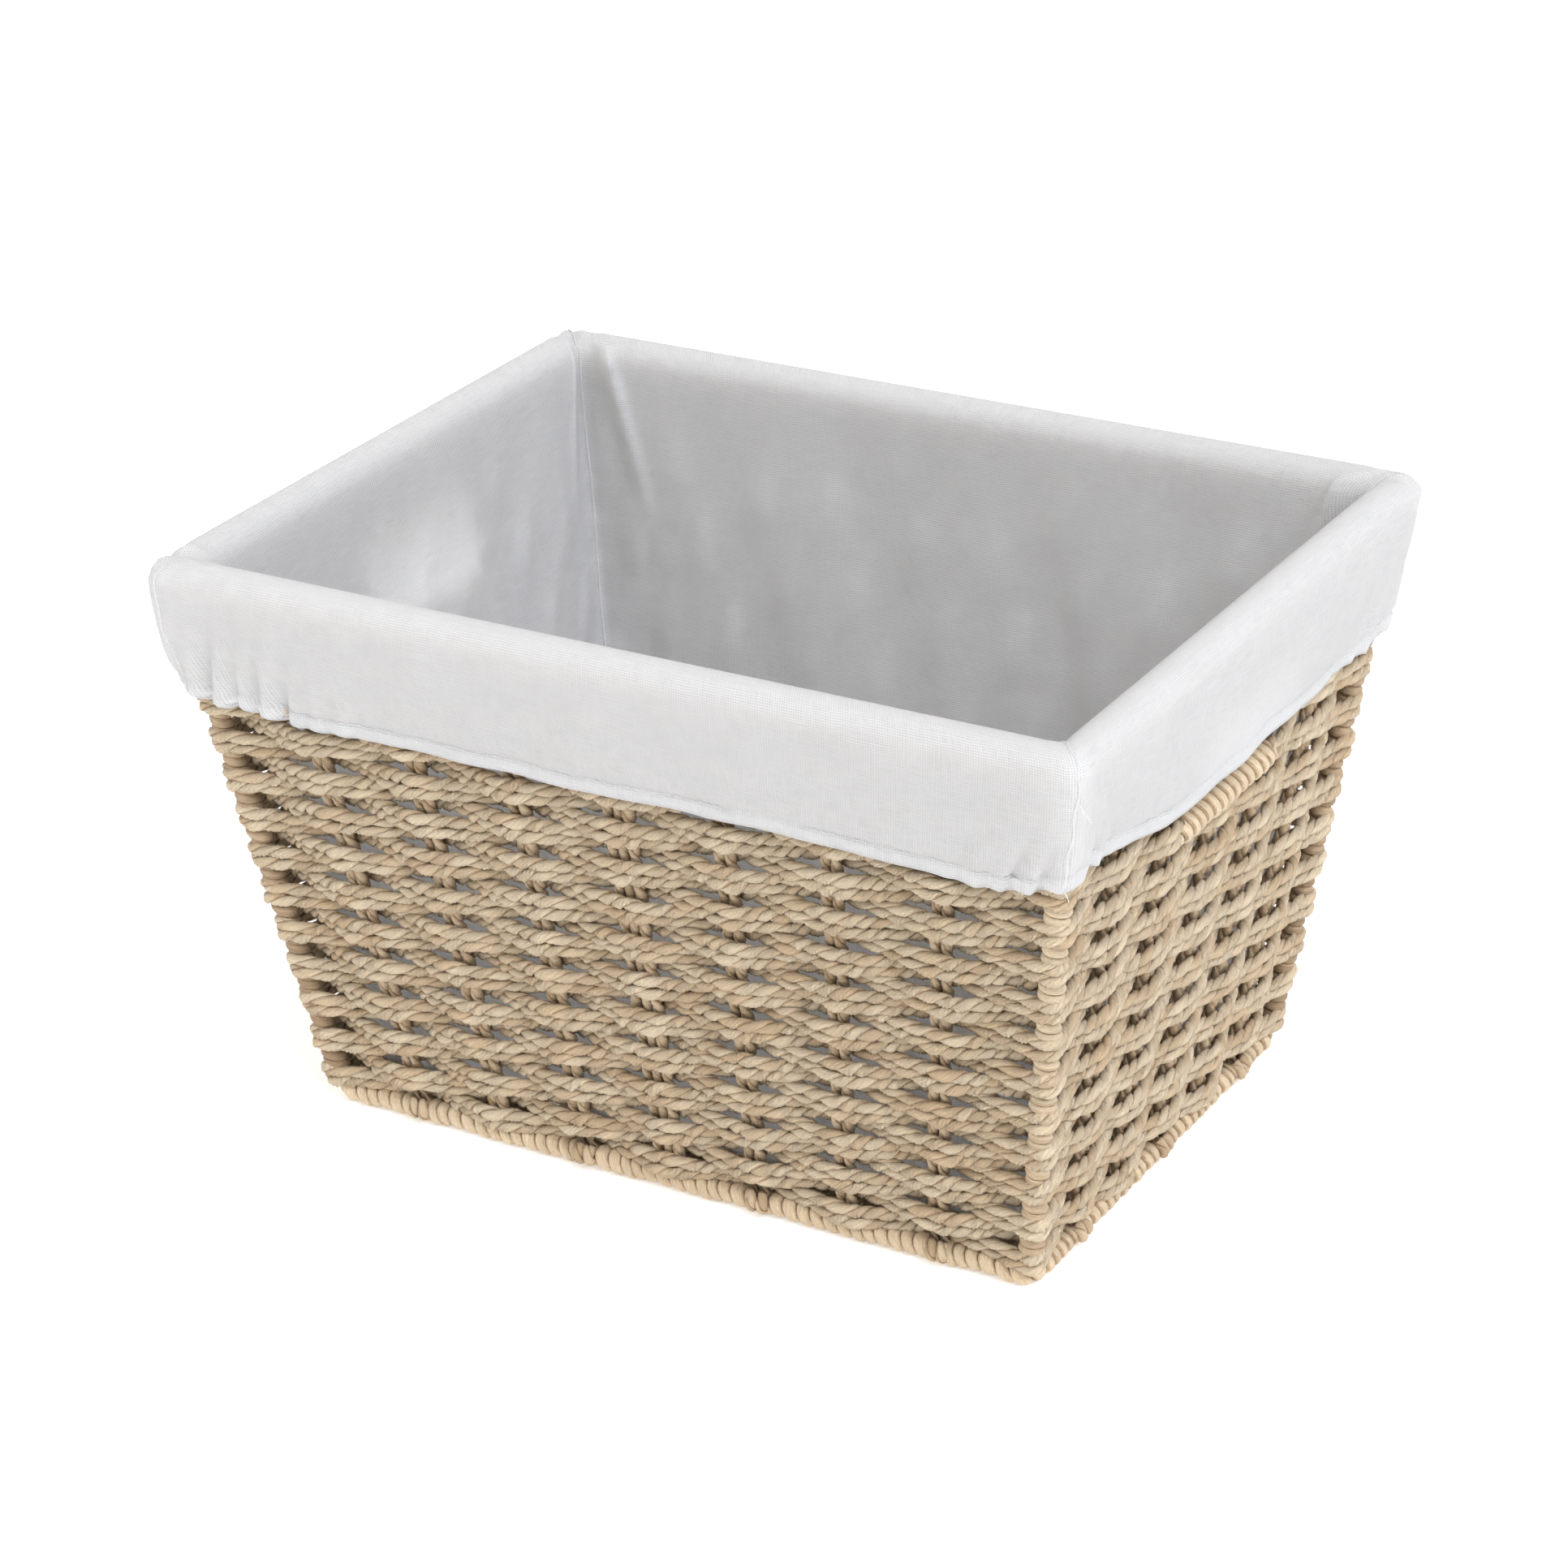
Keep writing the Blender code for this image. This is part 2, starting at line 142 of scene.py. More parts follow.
# A gentle wander that closes on itself: a few sine waves with whole numbers of turns
def wander(distance, length, waves, size):
    total = np.zeros_like(distance)
    for count in waves:
        total += np.sin(2 * math.pi * (count * distance / length + random.random()))
    return size * total / math.sqrt(len(waves))


# Smooth hump of a given width round a centre, on the upright count, which closes after its last
def nearPhase(phase, centre, width):
    away = np.mod(phase - centre + phaseCount / 2, phaseCount) - phaseCount / 2
    return np.exp(-(away / width) ** 2)


# Several humps added together, each with its centre, width and height
def nearPhases(phase, humps):
    return sum(height * nearPhase(phase, centre, width) for centre, width, height in humps)


# Points of one wall: along it, out from the middle of the basket, and up
def wallPoints(side, along, depth, z):
    heading = side * math.pi / 2
    return np.stack([along * math.cos(heading) + depth * math.sin(heading),
                     along * math.sin(heading) - depth * math.cos(heading), z], -1)


def unit(vectors):
    return vectors / np.linalg.norm(vectors, axis=-1, keepdims=True)


# How far each point of a path is from its start, along it
def lengthSoFar(path):
    return np.concatenate([[0], np.cumsum(np.linalg.norm(np.diff(path, axis=0), axis=1))])


# Meshes

def newBundle():
    return {"points": [], "corners": [], "sizes": [], "map": [], "tint": [], "count": 0}


def addQuads(bundle, points, quads, mapPlaces, tint):
    count = points[..., 0].size
    bundle["corners"].append((quads + bundle["count"]).reshape(-1))
    bundle["sizes"].append(np.full(quads[..., 0].size, 4))
    bundle["map"].append(mapPlaces.reshape(-1, 2))
    bundle["points"].append(points.reshape(-1, 3))
    bundle["tint"].append(np.full(count, tint))
    bundle["count"] += count


# A grid of points (rows, columns, 3) becomes quads; the map holds each row's and column's own place,
# one more of them than there are rows or columns where the grid closes on itself
def addGrid(bundle, points, rowPlaces, columnPlaces, tint=0.0):
    rows, columns = points.shape[:2]
    r, c = np.meshgrid(np.arange(len(rowPlaces) - 1), np.arange(len(columnPlaces) - 1), indexing="ij")
    nextRow, nextColumn = (r + 1) % rows, (c + 1) % columns
    quads = np.stack([r * columns + c, nextRow * columns + c,
                      nextRow * columns + nextColumn, r * columns + nextColumn], -1)
    across = np.stack([rowPlaces[r], rowPlaces[r + 1], rowPlaces[r + 1], rowPlaces[r]], -1)
    around = np.stack([columnPlaces[c], columnPlaces[c], columnPlaces[c + 1], columnPlaces[c + 1]], -1)
    addQuads(bundle, points, quads, np.stack([across, around], -1), tint)


# Closes an open tube's end with one flat face
def addCap(bundle, first, columns, place, atStart):
    ring = first + np.arange(columns)
    bundle["corners"].append(ring if atStart else ring[::-1])
    bundle["sizes"].append(np.array([columns]))
    angles = np.arange(columns) / columns
    bundle["map"].append(np.stack([np.full(columns, place), angles if atStart else angles[::-1]], -1))


# A tube: each ring stands square to the path. A point of it lies at radius(row, column) from the path,
# in the direction angle(row, column), where 0 looks outwards and a quarter turn looks up; flat is the
# share of its thickness that a flattened ring keeps
def addTube(bundle, path, outward, radius, angle, along, around, closed, tint=0.0, flat=1.0):
    if closed:
        tangent = unit(np.roll(path, -1, 0) - np.roll(path, 1, 0))
    else:
        tangent = unit(np.gradient(path, axis=0))
    outward = unit(outward - tangent * (outward * tangent).sum(-1, keepdims=True))
    upward = np.cross(outward, tangent)
    flat = np.broadcast_to(flat, len(path))[:, None, None]
    ring = flat * np.cos(angle)[..., None] * outward[:, None] + np.sin(angle)[..., None] * upward[:, None]
    points = path[:, None] + radius[..., None] * ring
    first = bundle["count"]
    addGrid(bundle, points, along, around, tint)
    if not closed:
        columns = radius.shape[1]
        addCap(bundle, first, columns, along[0], True)
        addCap(bundle, first + (len(path) - 1) * columns, columns, along[-1], False)


# The section of a rope of two plies, in shares of a turn. Each ply rises steeply out of the groove beside
# it and falls slowly to the next, so that the plies lie over each other like scales
rope = {
    "shares": np.array([0.0, 0.04, 0.12, 0.22, 0.33, 0.43]),
    "heights": np.array([0.62, 0.90, 1.02, 1.0, 0.92, 0.78]),
    "unevenness": 0.11,
}
coarseRope = {
    "shares": np.array([0.0, 0.08, 0.22, 0.38]),
    "heights": np.array([0.62, 0.92, 1.0, 0.86]),
    "unevenness": 0.07,
}
plyDraws = 997  # thicknesses drawn for a rope's plies, and used again along it


# Twisted rope along a path: every column of points follows one line of a ply, so the angle of a point is
# the column's own share of a turn plus the twist so far. Each half turn of a ply has its own thickness
def addRope(bundle, path, outward, size, turn, lead, closed, tint, section=rope, flat=1.0):
    shares = np.concatenate([section["shares"], section["shares"] + 0.5])
    heights = np.tile(section["heights"], 2)
    twist = turn / (2 * math.pi)
    secondPly = np.arange(len(shares)) >= len(shares) // 2
    seen = np.floor(shares[None, :] + twist[:, None]).astype(int) * 2 + secondPly
    uneven = 1 + section["unevenness"] * random.uniform(-1, 1, plyDraws)[seen % plyDraws]
    radius = size[:, None] * heights[None, :] * uneven
    angle = 2 * math.pi * (shares[None, :] + twist[:, None]) + math.pi
    along = twist * lead
    if closed:
        along = np.append(along, along[0] + np.round(twist[-1] - twist[0]) * lead)
    addTube(bundle, path, outward, radius, angle, along, np.append(shares, 1.0), closed, tint, flat)


# Puts a bundle into one mesh object at the origin
def makePiece(bundle, name, material, body, replaced=()):
    corners = np.concatenate(bundle["corners"])
    sizes = np.concatenate(bundle["sizes"])
    mesh = bpy.data.meshes.new(name)
    mesh.vertices.add(bundle["count"])
    mesh.vertices.foreach_set("co", np.concatenate(bundle["points"]).astype(np.float32).ravel())
    mesh.loops.add(len(corners))
    mesh.loops.foreach_set("vertex_index", corners.astype(np.int32))
    mesh.polygons.add(len(sizes))
    mesh.polygons.foreach_set("loop_start", (np.cumsum(sizes) - sizes).astype(np.int32))
    surfaceMap = mesh.uv_layers.new(name="surfaceMap")
    surfaceMap.data.foreach_set("uv", np.concatenate(bundle["map"]).astype(np.float32).ravel())
    tint = mesh.attributes.new("tint", "FLOAT", "POINT")
    tint.data.foreach_set("value", np.concatenate(bundle["tint"]).astype(np.float32))
    mesh.update(calc_edges=True)
    mesh.validate()
    mesh.shade_smooth()
    mesh.materials.append(material)
    piece = bpy.data.objects.new(name, mesh)
    bpy.context.collection.objects.link(piece)
    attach(piece, body)
    if replaced:
        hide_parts(*replaced)
    return piece


# Shader nodes and groups

def addNode(tree, kind, inputs=None, **settings):
    node = tree.nodes.new(kind)
    for key, value in settings.items():
        setattr(node, key, value)
    for key, value in (inputs or {}).items():
        socket = node.inputs[key]
        if isinstance(value, bpy.types.NodeSocket):
            tree.links.new(value, socket)
        else:
            socket.default_value = value
    return node


def calc(tree, operation, first, second=0.0, third=0.0):
    return addNode(tree, "ShaderNodeMath", {0: first, 1: second, 2: third}, operation=operation).outputs[0]


# Rises from 0 to 1 as value goes from low to high
def ramp(tree, value, low, high, toLow=0.0, toHigh=1.0):
    return addNode(tree, "ShaderNodeMapRange", {0: value, 1: low, 2: high, 3: toLow, 4: toHigh},
                   interpolation_type="SMOOTHSTEP").outputs[0]


def mixColour(tree, factor, first, second):
    return addNode(tree, "ShaderNodeMix", {0: factor, 6: first, 7: second}, data_type="RGBA").outputs[2]


def combine(tree, x, y, z=0.0):
    return addNode(tree, "ShaderNodeCombineXYZ", {0: x, 1: y, 2: z}).outputs[0]


def noise(tree, place, detail, scale=1.0, roughness=0.5):
    return addNode(tree, "ShaderNodeTexNoise", {"Vector": place, "Scale": scale, "Detail": detail,
                                                "Roughness": roughness}).outputs["Fac"]


# The two numbers of the piece's own map at a point
def mapPlaces(tree):
    place = addNode(tree, "ShaderNodeUVMap", uv_map="surfaceMap").outputs[0]
    return addNode(tree, "ShaderNodeSeparateXYZ", {0: place}).outputs[:2]


# Turns a height into the shader's normal; depth is how many metres a height of 1 stands for
def addBump(tree, shader, strength, depth, height):
    bump = addNode(tree, "ShaderNodeBump", {"Strength": strength, "Distance": depth, "Height": height}).outputs[0]
    tree.links.new(bump, shader.inputs["Normal"])
    return bump


# A group with the given inputs, out of which come a colour, a roughness and a height
def newGroup(name, **inputs):
    group = bpy.data.node_groups.new(name, "ShaderNodeTree")
    for label, value in inputs.items():
        kind = "NodeSocketColor" if isinstance(value, tuple) else "NodeSocketFloat"
        group.interface.new_socket(label, in_out="INPUT", socket_type=kind).default_value = value
    for label, kind in (("Color", "Color"), ("Roughness", "Float"), ("Height", "Float")):
        group.interface.new_socket(label, in_out="OUTPUT", socket_type="NodeSocket" + kind)
    source = group.nodes.new("NodeGroupInput")
    target = group.nodes.new("NodeGroupOutput")
    return group, source.outputs, target.inputs


# Twisted or wound paper. The map's first number is the length along the strip's own line in metres, its
# second the share of a turn across the strips. Strips times that share runs from 0 to 1 across one
# strip, and is 0 or 1 in the groove beside it. Creases are noise drawn out along the strip
def paperStripGroup():
    tree, given, result = newGroup("paperStrip", Strips=2.0, Lead=0.014, Across=30.0, Light=(0.7, 0.57, 0.4, 1),
                                   Middle=(0.5, 0.37, 0.23, 1), Dark=(0.2, 0.12, 0.06, 1), Groove=0.1)
    along, around = mapPlaces(tree)
    tint = addNode(tree, "ShaderNodeAttribute", attribute_name="tint").outputs["Fac"]
    objectPlace = addNode(tree, "ShaderNodeTexCoord").outputs["Object"]
    strip = calc(tree, "MULTIPLY", around, given["Strips"])
    share = calc(tree, "FRACT", strip)
    edge = calc(tree, "MINIMUM", share, calc(tree, "MULTIPLY", calc(tree, "SUBTRACT", 1.0, share), 1.6))
    turnNumber = calc(tree, "FLOOR", calc(tree, "ADD", around, calc(tree, "DIVIDE", along, given["Lead"])))
    cell = combine(tree, turnNumber, calc(tree, "FLOOR", strip), calc(tree, "MULTIPLY", tint, 91.0))
    facet = addNode(tree, "ShaderNodeTexWhiteNoise", {"Vector": cell}).outputs["Value"]
    shift = calc(tree, "MULTIPLY", facet, 9.0)

    def drawn(alongScale, acrossScale, detail):
        place = combine(tree, calc(tree, "MULTIPLY", along, alongScale),
                        calc(tree, "MULTIPLY_ADD", around, acrossScale, shift), calc(tree, "MULTIPLY", tint, 37.0))
        return noise(tree, place, detail, roughness=0.6)

    wrinkle = drawn(130.0, given["Across"], 3.0)
    fibre = drawn(330.0, calc(tree, "MULTIPLY", given["Across"], 3.0), 2.0)
    kink = drawn(420.0, 5.0, 1.0)
    fold = calc(tree, "ABSOLUTE", calc(tree, "SUBTRACT", wrinkle, 0.5))
    patch = noise(tree, objectPlace, 2.0, 45.0)
    tone = calc(tree, "MULTIPLY", facet, 0.42)
    tone = calc(tree, "MULTIPLY_ADD", patch, 0.24, tone)
    tone = calc(tree, "MULTIPLY_ADD", fibre, 0.40, tone)
    tone = calc(tree, "MULTIPLY_ADD", tint, 0.16, tone)
    bright = mixColour(tree, ramp(tree, tone, 0.32, 0.78), given["Middle"], given["Light"])
    # Creases are darkened towards the darkest colour: painted shade
    creaseShaded = mixColour(tree, ramp(tree, fold, 0.0, 0.028, 0.50, 0.0), bright, given["Dark"])
    jagged = calc(tree, "MULTIPLY_ADD", calc(tree, "SUBTRACT", kink, 0.5), 0.16, edge)
    # The groove beside each strip is darkened towards the darkest colour: painted shade
    groove = ramp(tree, jagged, 0.0, given["Groove"], 0.9, 0.0)
    tree.links.new(mixColour(tree, groove, creaseShaded, given["Dark"]), result["Color"])
    tree.links.new(ramp(tree, fibre, 0.2, 0.8, 0.62, 0.82), result["Roughness"])
    height = calc(tree, "MULTIPLY", ramp(tree, jagged, 0.0, 0.22), 0.6)
    height = calc(tree, "MULTIPLY_ADD", fold, 3.2, height)
    height = calc(tree, "MULTIPLY_ADD", fibre, 0.35, height)
    height = calc(tree, "MULTIPLY_ADD", kink, 0.5, height)
    tree.links.new(height, result["Height"])
    return tree


# Plain weave: each thread is a rounded ridge, |sin| across it, and a pinhole shows where both are low.
# Slubs are noise drawn out along the threads of each direction
def muslinGroup():
    tree, given, result = newGroup("muslinThreads", Spacing=0.00095, Light=(0.95, 0.955, 0.965, 1),
                                   Shade=(0.36, 0.36, 0.365, 1))
    place = mapPlaces(tree)
    wobbleAt = combine(tree, calc(tree, "MULTIPLY", place[0], 120.0), calc(tree, "MULTIPLY", place[1], 120.0))
    wobble = noise(tree, wobbleAt, 1.0)
    ridges, slubs = [], []
    for number, (here, other) in enumerate(((0, 1), (1, 0))):
        turns = calc(tree, "MULTIPLY", calc(tree, "DIVIDE", place[here], given["Spacing"]), math.pi)
        turns = calc(tree, "MULTIPLY_ADD", wobble, 3.0, turns)
        ridges.append(calc(tree, "ABSOLUTE", calc(tree, "SINE", turns)))
        drawn = combine(tree, calc(tree, "MULTIPLY", place[here], 1300.0),
                        calc(tree, "MULTIPLY", place[other], 90.0), number * 9.0)
        slubs.append(noise(tree, drawn, 1.0))
    filled = calc(tree, "MAXIMUM", ridges[0], calc(tree, "MULTIPLY", ridges[1], 0.85))
    hole = ramp(tree, filled, 0.25, 0.75, 1.0, 0.0)
    slub = calc(tree, "MAXIMUM", slubs[0], slubs[1])
    thread = mixColour(tree, ramp(tree, slub, 0.36, 0.64, 0.20, 0.0), given["Light"], given["Shade"])
    # Slubs vary the threads' tone with a little of the Shade colour; pinholes take it nearly whole, as painted shade
    # for the dark seen through them
    tree.links.new(mixColour(tree, calc(tree, "MULTIPLY", hole, 0.95), thread, given["Shade"]), result["Color"])
    tree.links.new(ramp(tree, slub, 0.3, 0.7, 0.95, 0.85), result["Roughness"])
    weave = calc(tree, "MULTIPLY", calc(tree, "ADD", ridges[0], ridges[1]), 0.5)
    tree.links.new(calc(tree, "MULTIPLY_ADD", slub, 0.25, weave), result["Height"])
    return tree


def newMaterial(name, constants):
    material = bpy.data.materials.new(name)
    material.use_nodes = True
    tree = material.node_tree
    shader = tree.nodes["Principled BSDF"]
    for key, value in constants.items():
        shader.inputs[key].default_value = value
    return material, tree, shader


# A material whose colour, roughness and height all come from one group
def groupMaterial(name, group, values, strength, depth, constants):
    material, tree, shader = newMaterial(name, constants)
    surface = addNode(tree, "ShaderNodeGroup", values, node_tree=group).outputs
    tree.links.new(surface["Color"], shader.inputs["Base Color"])
    tree.links.new(surface["Roughness"], shader.inputs["Roughness"])
    return material, tree, shader, addBump(tree, shader, strength, depth, surface["Height"])


def paperMaterial(name, group, depth, **values):
    constants = {"Specular IOR Level": 0.32, "Sheen Weight": 0.10, "Sheen Roughness": 0.45}
    return groupMaterial(name, group, values, 1.0, depth, constants)[0]


# Thin cloth: part of the light, the given share, goes through it
def muslinMaterial(group, share):
    constants = {"Specular IOR Level": 0.15, "Sheen Weight": 0.15, "Sheen Roughness": 0.5}
    material, tree, shader, normal = groupMaterial("cottonMuslin", group, {}, 0.6, 0.0003, constants)
    through = addNode(tree, "ShaderNodeBsdfTranslucent", {"Color": (0.965, 0.957, 0.945, 1), "Normal": normal})
    mixed = addNode(tree, "ShaderNodeMixShader", {0: share, 1: shader.outputs[0], 2: through.outputs[0]})
    tree.links.new(mixed.outputs[0], tree.nodes["Material Output"].inputs["Surface"])
    return material


# Spun thread: fine stripes across it, a sine of its length
def threadMaterial(name, colour, stripes):
    material, tree, shader = newMaterial(name, {})
    along, around = mapPlaces(tree)
    slant = calc(tree, "MULTIPLY", around, 900.0)
    twist = calc(tree, "MULTIPLY_ADD", along, stripes * 2 * math.pi, slant)
    wave = calc(tree, "MULTIPLY_ADD", calc(tree, "SINE", twist), 0.5, 0.5)
    # The stripes' darker colour lies in the grooves of the twist: painted shade
    shade = tuple(0.75 * part for part in colour[:3]) + (1,)
    tree.links.new(mixColour(tree, wave, shade, colour), shader.inputs["Base Color"])
    tree.links.new(ramp(tree, wave, 0, 1, 0.85, 0.7), shader.inputs["Roughness"])
    addBump(tree, shader, 0.4, 0.0001, wave)
    return material


paperStrip = paperStripGroup()
muslinThreads = muslinGroup()
paperLight = (0.97, 0.80, 0.56, 1)
paperMiddle = (0.80, 0.585, 0.355, 1)
# The darkest paper colour only darkens grooves and creases: painted shade
paperDark = (0.30, 0.175, 0.085, 1)
ropePaper = paperMaterial("twistedPaperRope", paperStrip, 0.0006, Strips=2.0, Lead=basket["ropeLead"], Across=42.0,
                          Light=paperLight, Middle=paperMiddle, Dark=paperDark, Groove=0.09)
stakePaper = paperMaterial("twistedPaperStrand", paperStrip, 0.0004, Strips=2.0, Lead=0.0125, Across=30.0,
                           Light=(0.80, 0.62, 0.41, 1), Middle=(0.56, 0.40, 0.235, 1), Dark=paperDark, Groove=0.08)
wrapPaper = paperMaterial("woundPaper", paperStrip, 0.0007, Strips=1.0, Lead=1.0, Across=9.0,
                          Light=(0.90, 0.73, 0.50, 1), Middle=(0.68, 0.495, 0.30, 1), Dark=paperDark, Groove=0.21)
# The corner posts' paper is a darker copy of the wound paper: painted shade
shadedPostPaper = paperMaterial("woundPaperPaintedShade", paperStrip, 0.0005, Strips=1.0, Lead=1.0, Across=8.0,
                          Light=(0.56, 0.41, 0.26, 1), Middle=(0.38, 0.26, 0.15, 1), Dark=paperDark, Groove=0.14)
muslin = muslinMaterial(muslinThreads, 0.57)
sewingThread = threadMaterial("sewingThread", (0.88, 0.88, 0.87, 1), 900.0)
elasticBand = threadMaterial("wovenElastic", (0.80, 0.80, 0.78, 1), 1500.0)
print("materials made")


# Woven walls

rowLow, rowHigh = lowRim[1, 2] + 0.0003, topRim[0, 2] - 0.0003
rowPitch = (rowHigh - rowLow) / basket["rows"]
leanAngle = math.atan(float(lean.mean()))

holes = {
    "firstRow": 18,  # rows between the two bars are broken by the hand holes
    "lastRow": 23,
    "edges": (10, 12, 24, 26),  # uprights beside the right hole, then beside the left one
    "overrun": 0.16,  # how far a broken row goes on past the upright beside the hole
}

# A rope that passes inside a corner post is squeezed thin, which leaves a hole beside the post, but at the
# front right corner the ropes are crushed together and fill that hole
squeeze = {
    "corners": ((0, 0.42, 1), (8, 0.42, -0.7), (14, 0.42, 0.5), (22, 0.42, 0.8)),  # centre, width, amount
    "sidesAt": (0, 0.1, 7.9, 8, 14, 14.1, 21.9, 22),
    "sides": (0, 1, 1, 0, 0, 1, 1, 0),  # 1 on the two long sides, 0 on the short ones
    "parting": 0.0010,  # how far it draws away from the middle of its row
    "thinning": 0.28,
}


# A tight rope lies straight between uprights and bends round each, so the wave is an arcsine of a cosine:
# nearly a zigzag, 1 outside an upright and -1 inside the next
def zigzag(phase):
    return np.arcsin(basket["tightness"] * np.cos(math.pi * phase)) / math.asin(basket["tightness"])


# One rope of a row, right round or in spans from one counted upright to another. It swings out and in by
# the zigzag, and lies above or below the middle of its row by half the gap
def addRowRope(bundle, row, upper, spans):
    upDown = 1 if upper else -1
    centre = rowLow + (row + 0.5) * rowPitch + upDown * basket["pairGap"]
    half = halfSizes(centre)
    radius = basket["cornerRadius"]
    length = stretchLengths(half, radius).sum()
    count = int(length / basket["ropeStep"])
    distance = np.arange(count) * length / count
    stretch, share = findStretch(distance, half, radius)
    phase = stakePhase(stretch, share, half, radius)
    wave = zigzag(phase + row)
    out = basket["swing"] * wave * (1 + wander(distance, length, (9, 17, 31), 0.05))
    out += wander(distance, length, (23, 41, 67), 0.00018)
    pressed = np.abs(wave) ** 1.6
    lift = wander(distance, length, (7, 19, 37, 71), 0.00030)
    lift += upDown * basket["spread"] * pressed
    z = centre + lift - out * math.sin(leanAngle)
    x, y, outX, outY = pathPlace(stretch, share, half + out[:, None], radius)
    path = np.stack([x, y, z], -1)
    outward = np.stack([outX, outY, np.full(count, -math.tan(leanAngle))], -1)
    size = basket["ropeRadius"] * (1 + wander(distance, length, (13, 47, 89), 0.04)) + basket["spread"] * pressed
    squeezed = np.clip(-wave, 0, 1) * nearPhases(phase, squeeze["corners"])
    squeezed = squeezed * np.interp(np.mod(phase, phaseCount), squeeze["sidesAt"], squeeze["sides"])
    path[:, 2] = path[:, 2] - upDown * squeeze["parting"] * squeezed
    size = size * (1 - squeeze["thinning"] * squeezed)
    flat = 1 - basket["flattening"] * pressed
    turns = round(length / basket["ropeLead"])
    turn = 2 * math.pi * (turns * distance / length + random.random())
    turn += wander(distance, length, (11, 29, 61), 0.55)
    tint = random.random()
    for span in spans:
        if span is None:
            addRope(bundle, path, outward, size, turn, basket["ropeLead"], True, tint, flat=flat)
            continue
        start, end = span
        order = np.argsort(np.mod(phase - start, phaseCount))
        keep = order[np.mod(phase[order] - start, phaseCount) <= (end - start) % phaseCount]
        whole = np.where(keep < keep[0], turns * 2 * math.pi, 0)
        addRope(bundle, path[keep], outward[keep], size[keep], turn[keep] + whole, basket["ropeLead"], False, tint,
                flat=flat[keep])


def weaveRows(first, last):
    bundle = newBundle()
    rightLow, rightHigh, leftLow, leftHigh = holes["edges"]
    past = holes["overrun"]
    for row in range(first, last):
        broken = holes["firstRow"] <= row <= holes["lastRow"]
        spans = ((rightHigh - past, leftLow + past), (leftHigh - past, rightLow + past)) if broken else (None,)
        for upper in (False, True):
            addRowRope(bundle, row, upper, spans)
    return bundle


rowsPerPiece = 5
weaveNodes = ("front_weave", "back_weave", "left_weave", "right_weave")
for first in range(0, basket["rows"], rowsPerPiece):
    last = min(first + rowsPerPiece, basket["rows"])
    makePiece(weaveRows(first, last), f"rope_rows_{first + 1}_to_{last}", ropePaper, "basket",
              weaveNodes if first == 0 else ())
print("rope rows woven")


# Uprights

upright = {
    "strandRadius": 0.00240,
    "strandGap": 0.00220,  # half the distance between its two strands
    "tripleGap": 2.05,  # strand gaps from a smooth middle strand to its neighbours
    "smoothShare": 0.86,  # thickness of a smooth strand beside the others'
    "sway": 0.0005,  # how far the rows push a strand out and in
    "lead": 0.0150,
    "step": 0.0016,
}
strandFoot = {
    "points": 12,
    "bend": (-0.45, 1.25),  # from where to where it lies round the bottom rim, in radians above level
    "proud": 0.0012,
    "sink": 0.0022,  # how deep its end goes into the winding
    "clear": 0.0052,  # height above the rim where the strand runs straight again
    "aside": (0.0016, 0.0004),
    "tip": (0.35, 0.7, 0.9),  # thickness of its last three rings
}
smoothStrand = {"shares": np.array([0.0, 0.1, 0.2, 0.3, 0.4]), "heights": np.ones(5), "unevenness": 0.01}


# A strand of an upright climbs the wall in a straight line. Where the lowest row passes inside it, its
# foot comes down over the bottom rim, on an arc round it, and sinks into its winding
def addStrand(bundle, side, number, shift, low, high, smooth, footed):
    z = np.linspace(low, high, int((high - low) / upright["step"]))
    half = halfSizes(z)
    heading = side * math.pi / 2
    along = half[:, side % 2] * (2 * number / stepCounts[side] - 1) + shift
    phase = sideStarts[side] + number
    out = -upright["sway"] * np.cos(math.pi * (phase + (z - rowLow) / rowPitch - 0.5))
    depth = half[:, 1 - side % 2] + out
    along = along + wander(z - low, high - low, (3, 5), 0.00018)
    if footed:
        points = strandFoot["points"]
        bend = np.linspace(*strandFoot["bend"], points)
        reach = lowRadius + strandFoot["proud"] - strandFoot["sink"] * np.clip((0.25 - bend) / 0.7, 0, 1)
        start = z > lowZ + lowRadius + strandFoot["clear"]
        z = np.concatenate([lowZ + reach * np.sin(bend), z[start]])
        depth = np.concatenate([lowHalf[1 - side % 2] + reach * np.cos(bend), depth[start]])
        along = np.concatenate([along[start][0] + np.linspace(*strandFoot["aside"], points), along[start]])
    path = wallPoints(side, along, depth, z)
    outward = np.tile([math.sin(heading), -math.cos(heading), 0.3], (len(z), 1))
    passed = lengthSoFar(path)
    turn = 2 * math.pi * (passed / upright["lead"] + random.random())
    size = np.full(len(z), upright["strandRadius"]) * (1 + wander(passed, passed[-1], (7, 13), 0.04))
    if footed:
        size[:3] *= strandFoot["tip"]
    if smooth:
        size = size * upright["smoothShare"]
    addRope(bundle, path, outward, size, turn, upright["lead"], False, random.random(),
            smoothStrand if smooth else rope)


for side, sideName in enumerate(("front", "right", "back", "left")):
    middle = stepCounts[side] // 2
    for number in range(1, stepCounts[side]):
        parts = [(f"{sideName}_stake_{number}", True)]
        if side % 2 and number == middle:    # the hand hole parts this one
            parts = [(f"{sideName}_stake_{number}_lower", True), (f"{sideName}_stake_{number}_upper", False)]
        for nodeName, fromFloor in parts:
            corners = np.array(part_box(nodeName))
            bundle = newBundle()
            triple = side % 2 == 0 and number == middle
            gap = upright["strandGap"] * (upright["tripleGap"] if triple else 1)
            for shift in ((-gap, 0.0, gap) if triple else (-gap, gap)):
                addStrand(bundle, side, number, shift, corners[0, 2], corners[1, 2], triple and shift == 0,
                          fromFloor and number % 2 == 1)
            makePiece(bundle, nodeName + "_strands", stakePaper, "basket", (nodeName,))
print("uprights made")


# Wound rims, posts and bars

